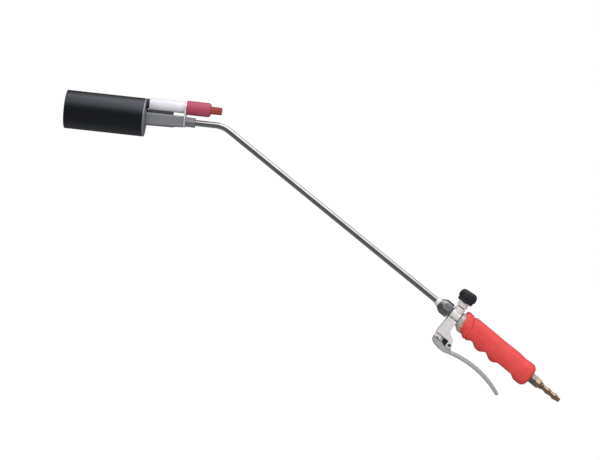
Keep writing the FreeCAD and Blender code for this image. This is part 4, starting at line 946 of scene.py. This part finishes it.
def make_world():
    """A studio: reflections are white towards the overhead lamp and dark elsewhere.

    Soft light grows towards one fixed direction above the torch, and the background is plain white.
    """
    world = bpy.data.worlds.new("studio")
    bpy.context.scene.world = world
    world.use_nodes = True
    nodes, links = world.node_tree.nodes, world.node_tree.links
    nodes.clear()
    output = nodes.new("ShaderNodeOutputWorld")
    rays = nodes.new("ShaderNodeLightPath")
    direction = nodes.new("ShaderNodeTexCoord").outputs["Generated"]

    def studio(stops, towards):
        """Light that depends on the direction's share along a vector, by (position, strength) stops."""
        share = nodes.new("ShaderNodeVectorMath")
        share.operation = "DOT_PRODUCT"
        share.inputs[1].default_value = towards
        links.new(direction, share.inputs[0])
        half = nodes.new("ShaderNodeMapRange")
        half.inputs["From Min"].default_value = -1.0
        links.new(share.outputs["Value"], half.inputs["Value"])
        ramp = nodes.new("ShaderNodeValToRGB")
        ramp.color_ramp.interpolation = "EASE"
        elements = ramp.color_ramp.elements
        while len(elements) < len(stops):
            elements.new(0.5)
        for element, (position, strength) in zip(elements, stops):
            element.position = (position + 1.0) / 2.0
            element.color = (strength, strength, strength, 1.0)
        links.new(half.outputs["Result"], ramp.inputs["Fac"])
        light = nodes.new("ShaderNodeBackground")
        links.new(ramp.outputs["Color"], light.inputs["Color"])
        return light.outputs[0]

    studio_stops = [(-1.0, 0.24), (-0.85, 0.16), (-0.30, 0.13), (0.30, 0.09)]
    studio_stops += [(0.58, 0.22), (0.86, 1.0), (1.0, 1.0)]
    reflected = studio(studio_stops, LAMP_SIDE.normalized())
    roll = math.radians(VIEW_ROLL)
    fill_side = Vector((-math.sin(roll), -0.4, math.cos(roll)))
    fill = studio([(-1.0, 0.30), (0.0, 0.55), (1.0, 1.0)], fill_side.normalized())
    white = nodes.new("ShaderNodeBackground")
    white.inputs["Color"].default_value = (1.0, 1.0, 1.0, 1.0)
    glossy = nodes.new("ShaderNodeMixShader")
    links.new(rays.outputs["Is Glossy Ray"], glossy.inputs[0])
    links.new(fill, glossy.inputs[1])
    links.new(reflected, glossy.inputs[2])
    seen = nodes.new("ShaderNodeMixShader")
    links.new(rays.outputs["Is Camera Ray"], seen.inputs[0])
    links.new(glossy.outputs[0], seen.inputs[1])
    links.new(white.outputs[0], seen.inputs[2])
    links.new(seen.outputs[0], output.inputs["Surface"])


def make_stage():
    """A pale floor well below the torch, and soft lamps above and in front."""
    floor_size, floor_drop, lamp_distance = 14.0, 1.0, 1.4
    front_lamps = [("front_left", (-1.5, -1.8, 0.6), 10.0), ("front_right", (0.9, -1.8, 0.3), 6.0)]
    middle = (cad_low + cad_high) / 2
    bpy.ops.mesh.primitive_plane_add(size=floor_size, location=(middle.x, 0.0, cad_low.z - floor_drop))
    floor = bpy.context.active_object
    floor.name = "floor"
    finish = Finish("floor")
    finish.colour(finish.ramp(finish.noise(2.0), [(0.3, (0.90, 0.90, 0.90)), (0.7, (0.93, 0.93, 0.93))]))
    finish.roughness(finish.noise(20.0), 0.7, 0.9)
    finish.shader.inputs["Emission Color"].default_value = (1.0, 1.0, 1.0, 1.0)
    finish.shader.inputs["Emission Strength"].default_value = 0.75
    floor.data.materials.append(finish.material)
    floor.visible_glossy = False
    floor.visible_diffuse = False
    floor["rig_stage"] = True
    make_world()
    area_light("overhead", middle + LAMP_SIDE.normalized() * lamp_distance, middle, (1.8, 1.4), 3.8)
    for name, place, power in front_lamps:
        area_light(name, place, middle, (1.2, 1.2), power).visible_glossy = False


def make_camera():
    """The main view: square on to the torch's plane, rolled so that the neck falls to the right."""
    data = bpy.data.cameras.new("camera")
    data.lens = 101.5
    data.sensor_width = 36.0
    camera = bpy.data.objects.new("camera", data)
    bpy.context.scene.collection.objects.link(camera)
    roll = math.radians(VIEW_ROLL)
    right = Vector((math.cos(roll), 0.0, math.sin(roll)))
    up = Vector((-math.sin(roll), 0.0, math.cos(roll)))
    back = right.cross(up)
    place = Vector((-297.2, -2200.0, -41.5)) * MM
    camera.matrix_world = Matrix.Translation(place) @ Matrix((right, up, back)).transposed().to_4x4()
    bpy.context.scene.camera = camera
    bpy.context.scene.view_settings.view_transform = "Standard"


def paint_everything():
    """Gives every shown piece the material of its slot."""
    for piece in bpy.context.scene.objects:
        if piece.type != "MESH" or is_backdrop(piece):
            continue
        slot = piece.get("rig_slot") or SLOT_OF.get(piece.name)
        if slot:
            piece.data.materials.clear()
            piece.data.materials.append(MATERIALS[slot])


make_camera()
make_stage()
make_neck_tube()
make_burner()
make_igniter()
make_valve()
make_grip()
make_hose_end()
paint_everything()
